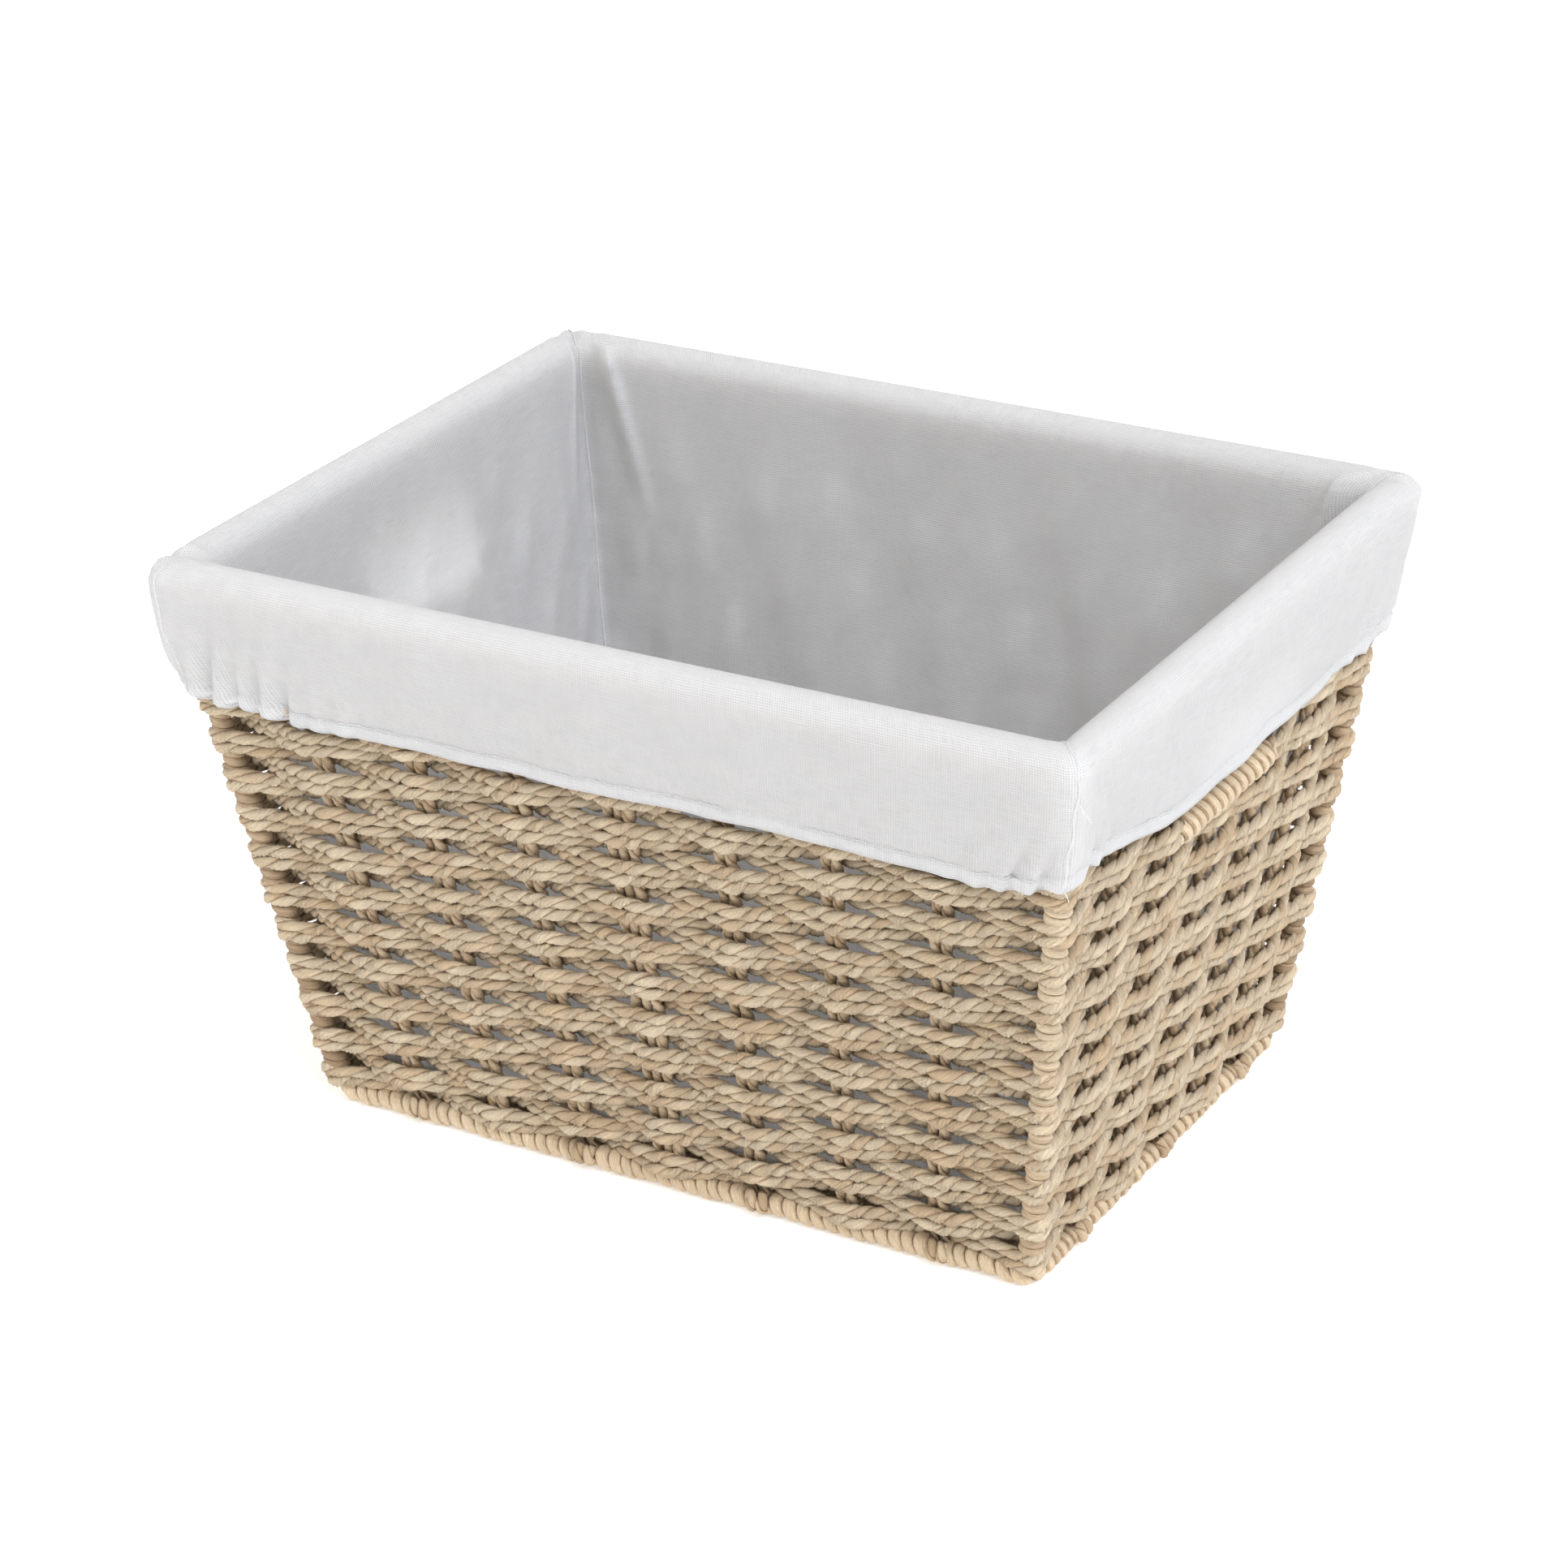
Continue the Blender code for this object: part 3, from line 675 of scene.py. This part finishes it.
# A rod wound with a strip. A point's distance along the rod is the pitch times the sum of its own share
# of a strip, its share of a turn round the rod and the whole turns so far, so each line of points
# follows the strip; the strip is high in its middle and low at its edges
winding = {
    "shares": np.array([0.0, 0.10, 0.33, 0.62, 0.88]),
    "heights": np.array([0.66, 0.92, 1.05, 1.02, 0.84]),
    "columns": 20,
    "pitch": 0.0057,
    "lean": 0.0026,  # how far the top of each turn lies back
    "shift": 0.0014,  # how far a turn may lie from its even place
    "unevenness": 0.10,
    "stripPerTurn": 0.027,  # length of strip in one turn
}


# The strip number of each point, the rod's height and angle there, and an uneven number from -1 to 1 for
# each turn, drawn once and joined by straight lines
def windingNumbers(turns):
    columns = winding["columns"]
    strip = (np.arange(turns)[:, None] + winding["shares"]).reshape(-1, 1)
    number = strip + np.arange(columns)[None, :] / columns
    heights = np.tile(winding["heights"], turns)[:, None]
    angle = np.broadcast_to(2 * math.pi * np.arange(columns) / columns + math.pi, number.shape)
    table = random.uniform(-1, 1, turns + 1)
    table[-1] = table[0]
    uneven = np.interp(np.mod(number, turns), np.arange(turns + 1), table)
    return number, heights, angle, uneven


# The seam runs along the rod: the last column of a turn joins the first column of the next
def addWinding(bundle, points, closed, tint):
    rows, columns = points.shape[:2]
    perTurn = len(winding["shares"])
    r, c = np.meshgrid(np.arange(rows if closed else rows - perTurn - 1), np.arange(columns), indexing="ij")
    jump = np.where(c == columns - 1, perTurn, 0)
    nextColumn = (c + 1) % columns
    quads = np.stack([r * columns + c, (r + 1) % rows * columns + c,
                      (r + 1 + jump) % rows * columns + nextColumn, (r + jump) % rows * columns + nextColumn], -1)
    share = np.append(winding["shares"], 1.0)
    low, high = share[r % perTurn], share[r % perTurn + 1]
    turn = r // perTurn
    here, there = turn + c / columns, turn + (c + 1) / columns
    strip = np.stack([low, high, high, low], -1) * 0.9998 + 0.0001  # clear of both grooves' lines
    length = np.stack([here, here, there, there], -1) * winding["stripPerTurn"]
    addQuads(bundle, points, quads, np.stack([length, strip], -1), tint)


# A wound rod's points become the piece that stands for a node
def makeWound(node, points, closed, tint, paper=wrapPaper):
    bundle = newBundle()
    addWinding(bundle, points, closed, tint)
    makePiece(bundle, node + "_winding", paper, "basket", (node,))


# A rim is a closed winding round the rectangle: each point lies out from the rod's middle by its size
# times the cosine of its angle, and up by its size times the sine
def makeRim(node, half, z, radius):
    corner = basket["cornerRadius"]
    length = stretchLengths(half, corner).sum()
    turns = round(length / winding["pitch"])
    number, heights, angle, uneven = windingNumbers(turns)
    distance = number * length / turns - winding["lean"] * np.sin(angle) + winding["shift"] * uneven
    stretch, share = findStretch(distance, half, corner)
    x, y, outX, outY = pathPlace(stretch, share, half, corner)
    size = radius * heights * (1 + winding["unevenness"] * uneven)
    makeWound(node, np.stack([x + outX * size * np.cos(angle), y + outY * size * np.cos(angle),
                              np.maximum(z + size * np.sin(angle), cadBox[0][2])], -1), True, 0.5)


bottomRim = {"lift": 0.0004, "swelling": 1.10}
makeRim("bottom_rim", lowHalf, lowZ + bottomRim["lift"], lowRadius * bottomRim["swelling"])
makeRim("top_rim", topHalf, topZ, topRadius)

# A corner post is wound too, level with the rows that pass inside it
post = {
    "radius": 0.0048,
    "proud": 0.0002,
    "shift": 0.0011,
    "unevenness": 0.10,
    "taper": 0.004,  # over which each end thins, down to its share
    "endShare": 0.3,
    "relief": 0.75,  # how much of a strip's height shows
}
for name, xSign, ySign in (("front_left_post", -1, -1), ("front_right_post", 1, -1),
                           ("back_left_post", -1, 1), ("back_right_post", 1, 1)):
    corners = np.array(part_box(name))
    low, high = corners[0, 2], corners[1, 2]
    turns = round((high - low) / (rowPitch / 2))
    number, heights, angle, uneven = windingNumbers(turns)
    z = low + (high - low) * np.clip(number / turns, 0, 1) + post["shift"] * uneven
    ease = np.clip(np.minimum(z - low, high - z) / post["taper"], 0, 1)
    size = post["radius"] * (1 + post["unevenness"] * uneven)
    size = size * (post["endShare"] + (1 - post["endShare"]) * ease) * (1 - post["relief"] + post["relief"] * heights)
    half = halfSizes(z) + post["proud"]
    away = math.atan2(ySign, xSign)
    points = np.stack([xSign * half[..., 0] + size * np.cos(away - angle),
                       ySign * half[..., 1] + size * np.sin(away - angle), z], -1)
    # The front right post keeps the wound paper and the other posts take its darker copy: painted shade
    makeWound(name, points, False, 0.35, wrapPaper if name == "front_right_post" else shadedPostPaper)

handBar = {
    "radius": 0.0061,
    "pitch": 0.0062,
    "proud": 0.0019,
    "overrun": 0.0085,  # the winding runs on over the uprights beside the hole
    "lean": 0.0040,
    "shift": 0.0005,
    "unevenness": 0.04,
    "taper": 0.012,  # over which each end thins, down to its share
    "endShare": 0.02,
    "drops": {"lower": (0.0012, 0.0050), "upper": (0, -0.0030)},  # of the whole bar, and of its ends
}
for side, sideName in ((1, "right"), (3, "left")):
    for place, (barDrop, endDrop) in handBar["drops"].items():
        node = f"{sideName}_hand_hole_{place}_bar"
        corners = np.array(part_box(node))
        z = corners[:, 2].mean() - barDrop
        reach = corners[1, 1] + handBar["overrun"]
        turns = round(2 * reach / handBar["pitch"])
        number, heights, angle, uneven = windingNumbers(turns)
        along = (number - turns / 2) * (2 * reach / turns)
        along = along - handBar["lean"] * np.sin(angle) + handBar["shift"] * uneven
        ease = np.clip((reach - np.abs(along)) / handBar["taper"], 0, 1)
        size = handBar["radius"] * (handBar["endShare"] + (1 - handBar["endShare"]) * np.sqrt(ease))
        size = size * heights * (1 + handBar["unevenness"] * uneven)
        depth = halfSizes(z)[0] + handBar["proud"] + size * np.cos(angle)
        points = wallPoints(side, along, depth, z - endDrop * (1 - ease) ** 2 + size * np.sin(angle))
        makeWound(node, points, False, 0.6)
print("rims and bars wound")


# Woven base
base = {
    "rows": 22,
    "swing": 0.0040,  # how far a rope passes over or under a rib
    "edge": 0.02,  # over which the swing dies away at each end
    "ropeRadius": 0.0025,
    "ropeStep": 0.0022,
    "ribRadius": 0.0019,
    "ribStep": 0.002,
}
baseBox = np.array(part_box("base_weave"))
baseZ = baseBox[:, 2].mean()
basePitch = (baseBox[1, 1] - baseBox[0, 1]) / base["rows"]


# A level rope or strand of the base, which faces up
def addLevelRope(bundle, path, radius, turn, lead, tint):
    addRope(bundle, path, np.tile([0.0, 0.0, 1.0], (len(path), 1)), np.full(len(path), radius), turn, lead, False,
            tint, coarseRope)


bundle = newBundle()
for row in range(base["rows"]):
    for upDown in (-1, 1):
        x = np.arange(baseBox[0, 0], baseBox[1, 0], base["ropeStep"])
        y = baseBox[0, 1] + (row + 0.5) * basePitch + upDown * basePitch / 4
        phase = (x / lowHalf[0] + 1) / 2 * stepCounts[0]
        ends = np.clip((baseBox[1, 0] - np.abs(x)) / base["edge"], 0, 1)
        z = baseZ + base["swing"] * zigzag(phase + row) * ends
        path = np.stack([x, y + wander(x, baseBox[1, 0] - baseBox[0, 0], (5, 9), 0.0002), z], -1)
        turn = 2 * math.pi * (x / basket["ropeLead"] + random.random())
        addLevelRope(bundle, path, base["ropeRadius"], turn, basket["ropeLead"], random.random())
makePiece(bundle, "base_ropes", ropePaper, "basket", ("base_weave",))
for number in range(1, stepCounts[0]):
    node = f"base_rib_{number}"
    corners = np.array(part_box(node))
    bundle = newBundle()
    for shift in (-upright["strandGap"], upright["strandGap"]):
        y = np.arange(corners[0, 1], corners[1, 1], base["ribStep"])
        path = np.stack([np.full(len(y), corners[:, 0].mean() + shift), y, np.full(len(y), baseZ)], -1)
        addLevelRope(bundle, path, base["ribRadius"], 2 * math.pi * y / upright["lead"], upright["lead"], 0.3)
    makePiece(bundle, node + "_strands", stakePaper, "basket", (node,))
print("base woven")


# Liner
cloth = {
    "archRadius": 0.0084,  # of the fold over the rim
    "insideCorner": 0.0035,
    "outsideCorner": 0.0046,
    "step": 0.0030,  # round the basket, and nearer the corners
    "cornerStep": 0.0017,
    "thickness": 0.0005,
    "casing": 0.0064,  # hem edge to the stitch line
    # Depth of the cuff below its top in millimetres, at counted uprights
    "depthAt": (0, 1, 2, 3, 4, 5, 6, 7, 7.5, 8, 8.3, 8.7, 9.2, 10, 11, 12, 13, 14, 16, 18, 20, 22, 24, 26, 27, 28),
    "depths": (55.5, 58.5, 60, 59.5, 59, 59, 59.5, 60.5, 60.5, 55.5, 52, 54.5, 60, 64, 64.5, 64, 64, 63, 61, 60, 60,
               59, 62.5, 64.5, 60, 55.5),
    # Pleats that fall from the rim inside: place on the upright count, slope, width and height
    "pleats": ((21.70, 6, 0.09, 0.0045), (22.12, -3, 0.05, 0.003), (14.25, -5, 0.10, 0.003), (0.2, -4, 0.06, 0.002)),
    # Gathered stretches of the hem, and crumpled corners on the rim: place, width and strength
    "gathers": ((0.6, 0.75, 1.7), (7.55, 0.45, 1.1), (8.35, 0.3, 0.75), (13.4, 0.5, 0.7), (14.5, 0.6, 0.7),
                (22, 0.8, 0.7), (27.4, 0.5, 0.7)),
    "crumples": ((-0.1, 0.30, 1.0), (8, 0.12, 0.35), (14, 0.22, 0.8), (22, 0.22, 0.8)),
    "overBars": ((11, 1.5, 1), (25, 1.5, 1)),
    # Where the columns of points lie closer together
    "closer": ((0, 1.5, 1), (8, 1.2, 1), (14, 1.2, 1), (22, 1.5, 1)),
}
rimHalf = halfSizes(topZ)
rimCorner = 0.004
rimLength = float(stretchLengths(rimHalf, rimCorner).sum())
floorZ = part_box("liner_bottom")[1][2]


# A sine wave with a whole number of turns round the basket, slanted by so many turns for each metre down
def slantWave(distance, drop, count, slant, shift=0.0):
    return np.sin(2 * math.pi * (count * distance / rimLength + slant * drop + shift))


# A fixed pattern of soft folds: the mean of several slanted waves
def softFolds(distance, drop, waves):
    return sum(slantWave(distance, drop, *wave) for wave in waves) / len(waves)


def rimPhase(distance):
    return stakePhase(*findStretch(distance, rimHalf, rimCorner), rimHalf, rimCorner)


# The cuff's depth is read off its table between uprights, with two shallow waves added
def cuffDepth(distance):
    depth = np.interp(rimPhase(distance), cloth["depthAt"], cloth["depths"]) / 1000
    waves = 0.0006 * np.sin(2 * math.pi * 9 * distance / rimLength)
    return depth + waves + 0.0004 * np.sin(2 * math.pi * (23 * distance / rimLength + 0.2))


# The cloth: level -1 to 0 climbs the inside from the floor, 0 to 1 arches over the rim, and 1 to 2
# falls outside to the hem. Every column keeps its share of a side, so it leans with the wall
def clothPlace(distance, level, proud=0.0):
    stretch, share = findStretch(distance, rimHalf, rimCorner)
    phase = stakePhase(stretch, share, rimHalf, rimCorner)
    arch = cloth["archRadius"]
    fullFall = cuffDepth(distance) - (wallTop - topZ)
    inside, over, outside = level < 0, (level >= 0) & (level <= 1), level > 1
    angle = math.pi * np.clip(level, 0, 1)
    down = np.clip(-level, 0, 1) * (topZ - floorZ)
    part = np.clip(level - 1, 0, 1)
    fall, fromHem = part * fullFall, (1 - part) * fullFall
    out = np.where(over, -arch * np.cos(angle), np.where(inside, -arch + 0.0005 * np.clip(down / 0.02, 0, 1), arch))
    z = topZ + np.where(over, (arch - 0.0002) * np.sin(angle), 0) - down - fall
    # Inside: slack hollows, deeper away from the rim, drawn in over the floor and at the corners
    slack = np.clip(down / 0.05, 0, 1)
    hollow = softFolds(distance, down, ((7, 3.0, 0.1), (11, -4.0, 0.6), (17, 2.0, 0.3)))
    out = out - inside * slack * 0.0022 * np.clip(0.4 + hollow, 0, 2)
    creased = softFolds(distance, down, ((33, 9.0, 0.2), (45, -13.0, 0.7), (29, -21.0, 0.4)))
    out = out - inside * slack * 0.0020 * np.clip(creased - 0.05, 0, 1)
    out = out - inside * 0.0045 * np.exp(-((topZ - floorZ - down) / 0.008) ** 2)
    for centre, slope, width, height in cloth["pleats"]:
        pleat = nearPhase(phase, centre - down * slope, width) * np.exp(-(down / 0.045) ** 2)
        out = out - height * pleat * (level < 0.35)
    # Outside: a slight belly under the rim, drawn in at the hem by its elastic
    out = out + outside * (0.0013 * np.sin(math.pi * part) - 0.0012 * part ** 2)
    out = out + outside * 0.0014 * nearPhases(phase, cloth["overBars"]) * part ** 2
    out = out + outside * 0.0009 * softFolds(distance, fall, ((13, 9.0, 0.2), (21, -7.0, 0.5), (37, 15.0, 0.9)))
    gather = nearPhases(phase, cloth["gathers"])
    reach = np.exp(-(fromHem / 0.022) ** 2)
    pucker = slantWave(distance, fromHem, 118, -26) + 0.6 * slantWave(distance, fromHem, 73, -17, 0.3)
    out = out + outside * gather * reach * 0.0011 * (pucker + 0.3)
    hemWave = np.sin(2 * math.pi * 118 * distance / rimLength + 1.2)
    z = z + outside * gather * np.exp(-(fromHem / 0.006) ** 2) * 0.0007 * hemWave
    # The stitch line draws the cloth in, and the casing below it stands a little proud
    stitched = np.exp(-((fromHem - cloth["casing"]) / 0.0012) ** 2)
    out = out - outside * 0.0006 * stitched + outside * 0.0005 * (fromHem < cloth["casing"])
    ripple = slantWave(distance, level, 130, 1.3) + 0.6 * slantWave(distance, level, 77, -1.9)
    nearArch = np.exp(-((level - 0.45) / 0.40) ** 2)
    z = z + nearPhases(phase, cloth["crumples"]) * nearArch * (0.0012 * ripple - 0.0014)
    out = out + proud * np.where(over, -np.cos(angle), np.where(inside, -1, 1))
    z = z + proud * np.where(over, np.sin(angle), 0)
    corner = np.interp(level, (-0.3, 0.5, 1.2), (cloth["insideCorner"], 0.0042, cloth["outsideCorner"]))
    z = z - out * math.sin(leanAngle) * np.where(over, np.abs(np.cos(angle)), 1) * (level > 0.5)
    x, y = pathPlace(stretch, share, halfSizes(z) + out[..., None], corner)[:2]
    return np.stack([x, y, z], -1)


# Places round the rim, closer together beside the corners
def clothColumns():
    fine = np.linspace(0, rimLength, 4001)
    near = nearPhases(rimPhase(fine[:-1]), cloth["closer"])
    density = 1 / cloth["step"] + (1 / cloth["cornerStep"] - 1 / cloth["step"]) * np.clip(near * 1.3, 0, 1)
    passed = np.concatenate([[0], np.cumsum(density * rimLength / 4000)])
    count = int(passed[-1])
    return np.interp(np.arange(count) * passed[-1] / count, passed, fine)


# Levels of the cloth, so many on the inside, on the arch and on the outside
def clothLevels(inside, over, outside, lowest=-1.0, hem=2.0):
    return np.concatenate([np.linspace(lowest, 0, inside)[:-1], np.linspace(0, 1, over)[:-1],
                           np.linspace(1, hem, outside)])


def clothPiece(bundle, name, nodes):
    piece = makePiece(bundle, name, muslin, "liner", nodes)
    solid = piece.modifiers.new("clothThickness", "SOLIDIFY")
    solid.thickness = cloth["thickness"]
    solid.offset = 0
    return piece


# The bag's walls and cuff: the cloth's place at every level and every column
def makeLiner():
    distance = clothColumns()
    points = clothPlace(*np.meshgrid(distance, clothLevels(34, 11, 32)))
    steps = np.linalg.norm(np.diff(points, axis=0), axis=-1).mean(1)
    rowPlaces = np.concatenate([[0], np.cumsum(steps)])
    bundle = newBundle()
    addGrid(bundle, points[::-1].copy(), rowPlaces[::-1].copy(), np.append(distance, rimLength))
    return clothPiece(bundle, "cotton_liner", ("liner_front", "liner_back", "liner_left", "liner_right",
                                               "cuff_front", "cuff_back", "cuff_left", "cuff_right"))


# The bag's floor: a rectangle of cloth with shallow wrinkles, its edge turned up into the walls
def makeLinerFloor():
    half = halfSizes(floorZ) - 0.0125
    x, y = np.meshgrid(np.linspace(-1, 1, 120), np.linspace(-1, 1, 80), indexing="ij")
    edge = np.maximum(np.abs(x), np.abs(y))
    z = floorZ + 0.0011 + 0.0005 * (np.sin(9 * x + 4 * y) + np.sin(7 * y - 5 * x + 1)) * (1 - edge ** 4)
    points = np.stack([x * half[0], y * half[1], z + 0.0015 * edge ** 24], -1)
    bundle = newBundle()
    addGrid(bundle, points, x[:, 0] * half[0], y[0] * half[1])
    return clothPiece(bundle, "cotton_liner_floor", ("liner_bottom",))


# A thin round cord that follows the cloth, such as a seam's ridge or a stitch
def addThread(bundle, path, radius, sides):
    outward = np.stack([path[:, 0], path[:, 1], np.full(len(path), 0.02)], -1)
    angle = np.broadcast_to(2 * math.pi * np.arange(sides) / sides, (len(path), sides))
    size = np.full((len(path), sides), radius)
    size[[0, -1]] *= 0.3
    addTube(bundle, path, outward, size, angle, lengthSoFar(path), np.arange(sides + 1) * radius, False)


# Where the four corners lie round the rim
def cornerDistance(corner):
    fine = np.linspace(0, rimLength, 8001)[:-1]
    return fine[np.argmin(np.abs(rimPhase(fine) - corner))]


sewing = {
    "seamRadius": 0.00042,
    # Seams: corner, distance from it, and how far the hem's end lies aside
    "seams": ((0, 0.001, 0.0), (8, 0.0005, -0.003), (14, 0.0, 0.001), (22, 0.0, -0.002)),
    "stitchRadius": 0.00017,
    "stitchPitch": 0.0034,
    "stitchShare": 0.62,  # of the pitch that a stitch covers
    "threadRadius": 0.00014,
    # Loose ends of thread: corner, distance from it, level on the cloth and length
    "ends": ((8, 0.0006, 1.18, 0.006), (8, 0.004, 1.30, 0.005), (8, -0.002, 1.97, 0.005), (0, 0.002, 1.9, 0.004)),
}
elastic = {
    "step": 0.003,
    "fromHem": 0.0032,
    "sunk": 0.0009,  # behind the cloth's middle
    "halfThickness": 0.0003,
    "halfWidth": 0.0022,
}


# Seams and stitches are threads on the cloth's own lines, and the elastic is a closed flat tube with an
# ellipse for its section
def makeSewing():
    seams = newBundle()
    for corner, shift, hemShift in sewing["seams"]:
        level = clothLevels(40, 14, 40, -0.98, 1.995)
        along = cornerDistance(corner) + shift + hemShift * np.clip(level - 1, 0, 1)
        along = along + 0.0004 * np.sin(level * 17 + corner)
        addThread(seams, clothPlace(np.mod(along, rimLength), level, 0.00035), sewing["seamRadius"], 6)
    makePiece(seams, "liner_seams", muslin, "liner")
    stitches = newBundle()
    pitch = sewing["stitchPitch"]
    for start in np.arange(0, rimLength - pitch, pitch):
        along = start + np.linspace(0, sewing["stitchShare"], 4) * pitch
        fall = cuffDepth(along) - (wallTop - topZ)
        level = 2 - (cloth["casing"] + 0.0002 * math.sin(start * 400)) / fall
        addThread(stitches, clothPlace(along, level, 0.00030), sewing["stitchRadius"], 4)
    makePiece(stitches, "hem_stitches", sewingThread, "liner")
    ends = newBundle()
    for corner, shift, level, length in sewing["ends"]:
        start = clothPlace(np.array([cornerDistance(corner) + shift]), np.array([level]), 0.0003)[0]
        share = np.linspace(0, 1, 8)[:, None]
        away = unit(np.array([start[0], start[1], 0.0]))
        path = start + away * 0.0014 * np.sin(2.2 * share) + np.array([0.3, 0.2, -1.0]) * length * share ** 1.4 * 0.8
        addThread(ends, path, sewing["threadRadius"], 4)
    makePiece(ends, "loose_threads", sewingThread, "liner")
    distance = np.arange(0, rimLength, elastic["step"])
    fall = cuffDepth(distance) - (wallTop - topZ)
    band = newBundle()
    middle = clothPlace(distance, 2 - elastic["fromHem"] / fall, -elastic["sunk"])
    outward = np.stack([middle[:, 0], middle[:, 1], np.zeros(len(middle))], -1)
    angle = np.broadcast_to(2 * math.pi * np.arange(8) / 8, (len(distance), 8))
    size = 1 / np.sqrt((np.cos(angle) / elastic["halfThickness"]) ** 2 + (np.sin(angle) / elastic["halfWidth"]) ** 2)
    addTube(band, middle, outward, size, angle, np.append(distance, rimLength), np.arange(9) / 8 * 0.01, True)
    makePiece(band, "casing_elastic", elasticBand, "liner", ("hem_elastic",))


liner = makeLiner()
linerFloor = makeLinerFloor()
makeSewing()
print("liner hung")


# Camera, floor and light
view = {"azimuth": 30.99, "elevation": 25.36, "roll": -1.82, "distance": 1.777, "right": -0.0065, "up": 0.0061,
        "lens": 102.96}
studio = {
    "floorReach": 9,
    "floorZ": -0.0005,
    "floorColour": (0.93, 0.93, 0.93, 1),
    "floorGlow": 0.35,
    "skyColour": (1.0, 0.992, 0.978, 1),
    "skyLight": 0.82,
    "skySeen": 1.05,  # its strength where the camera sees it
}


# The direction from the object towards a place at an azimuth and elevation in degrees
def direction(azimuth, elevation):
    az, el = math.radians(azimuth), math.radians(elevation)
    return np.array([math.sin(az) * math.cos(el), -math.cos(az) * math.cos(el), math.sin(el)])


def addAimed(name, data, right, up, back, place):
    matrix = np.eye(4)
    matrix[:3] = np.stack([right, up, back, place], -1)
    item = bpy.data.objects.new(name, data)
    item.matrix_world = Matrix(matrix.tolist())
    bpy.context.collection.objects.link(item)
    return item


def makeCamera():
    back, roll = direction(view["azimuth"], view["elevation"]), math.radians(view["roll"])
    azimuth = math.radians(view["azimuth"])
    right = np.array([math.cos(azimuth), math.sin(azimuth), 0.0])
    up = np.cross(back, right)
    right, up = math.cos(roll) * right + math.sin(roll) * up, math.cos(roll) * up - math.sin(roll) * right
    middle = np.array([0, 0, (cadBox[0][2] + cadBox[1][2]) / 2])
    data = bpy.data.cameras.new("camera")
    data.lens = view["lens"]
    data.sensor_width = 36
    place = middle + back * view["distance"] + right * view["right"] + up * view["up"]
    bpy.context.scene.camera = addAimed("camera", data, right, up, back, place)


# A soft lamp far away: light from one direction, spread over a wide angle
def makeLamp(name, azimuth, elevation, spread, power, colour):
    data = bpy.data.lights.new(name, "SUN")
    data.energy = power
    data.color = colour
    data.angle = math.radians(spread)
    towards = direction(azimuth, elevation)
    side = unit(np.cross([0, 0, 1.0], towards))
    addAimed(name, data, side, np.cross(towards, side), towards, (0, 0, 0))


def makeFloorAndSky():
    reach, z = studio["floorReach"], studio["floorZ"]
    mesh = bpy.data.meshes.new("studio_floor")
    mesh.from_pydata([(-reach, -reach, z), (reach, -reach, z), (reach, reach, z), (-reach, reach, z)], [],
                     [(0, 1, 2, 3)])
    floor = bpy.data.objects.new("studio_floor", mesh)
    bpy.context.collection.objects.link(floor)
    mesh.materials.append(newMaterial("paleFloor", {
        "Base Color": studio["floorColour"], "Roughness": 0.9, "Specular IOR Level": 0.0,
        "Emission Color": (1, 1, 1, 1), "Emission Strength": studio["floorGlow"]})[0])
    world = bpy.data.worlds.new("studio")
    world.use_nodes = True
    tree = world.node_tree
    background = tree.nodes["Background"].inputs
    background["Color"].default_value = studio["skyColour"]
    path = addNode(tree, "ShaderNodeLightPath")
    strength = addNode(tree, "ShaderNodeMix", {0: path.outputs["Is Camera Ray"], 2: studio["skyLight"],
                                               3: studio["skySeen"]}, data_type="FLOAT")
    tree.links.new(strength.outputs[0], background["Strength"])
    bpy.context.scene.world = world


makeCamera()
makeFloorAndSky()
makeLamp("keyLamp", 70, 50, 40, 2.2, (0.84, 0.89, 1.0))
makeLamp("fillLamp", -20, 48, 60, 0.48, (1.0, 0.98, 0.95))
bpy.context.scene.view_settings.view_transform = "Standard"
print("camera, floor and lamps placed")
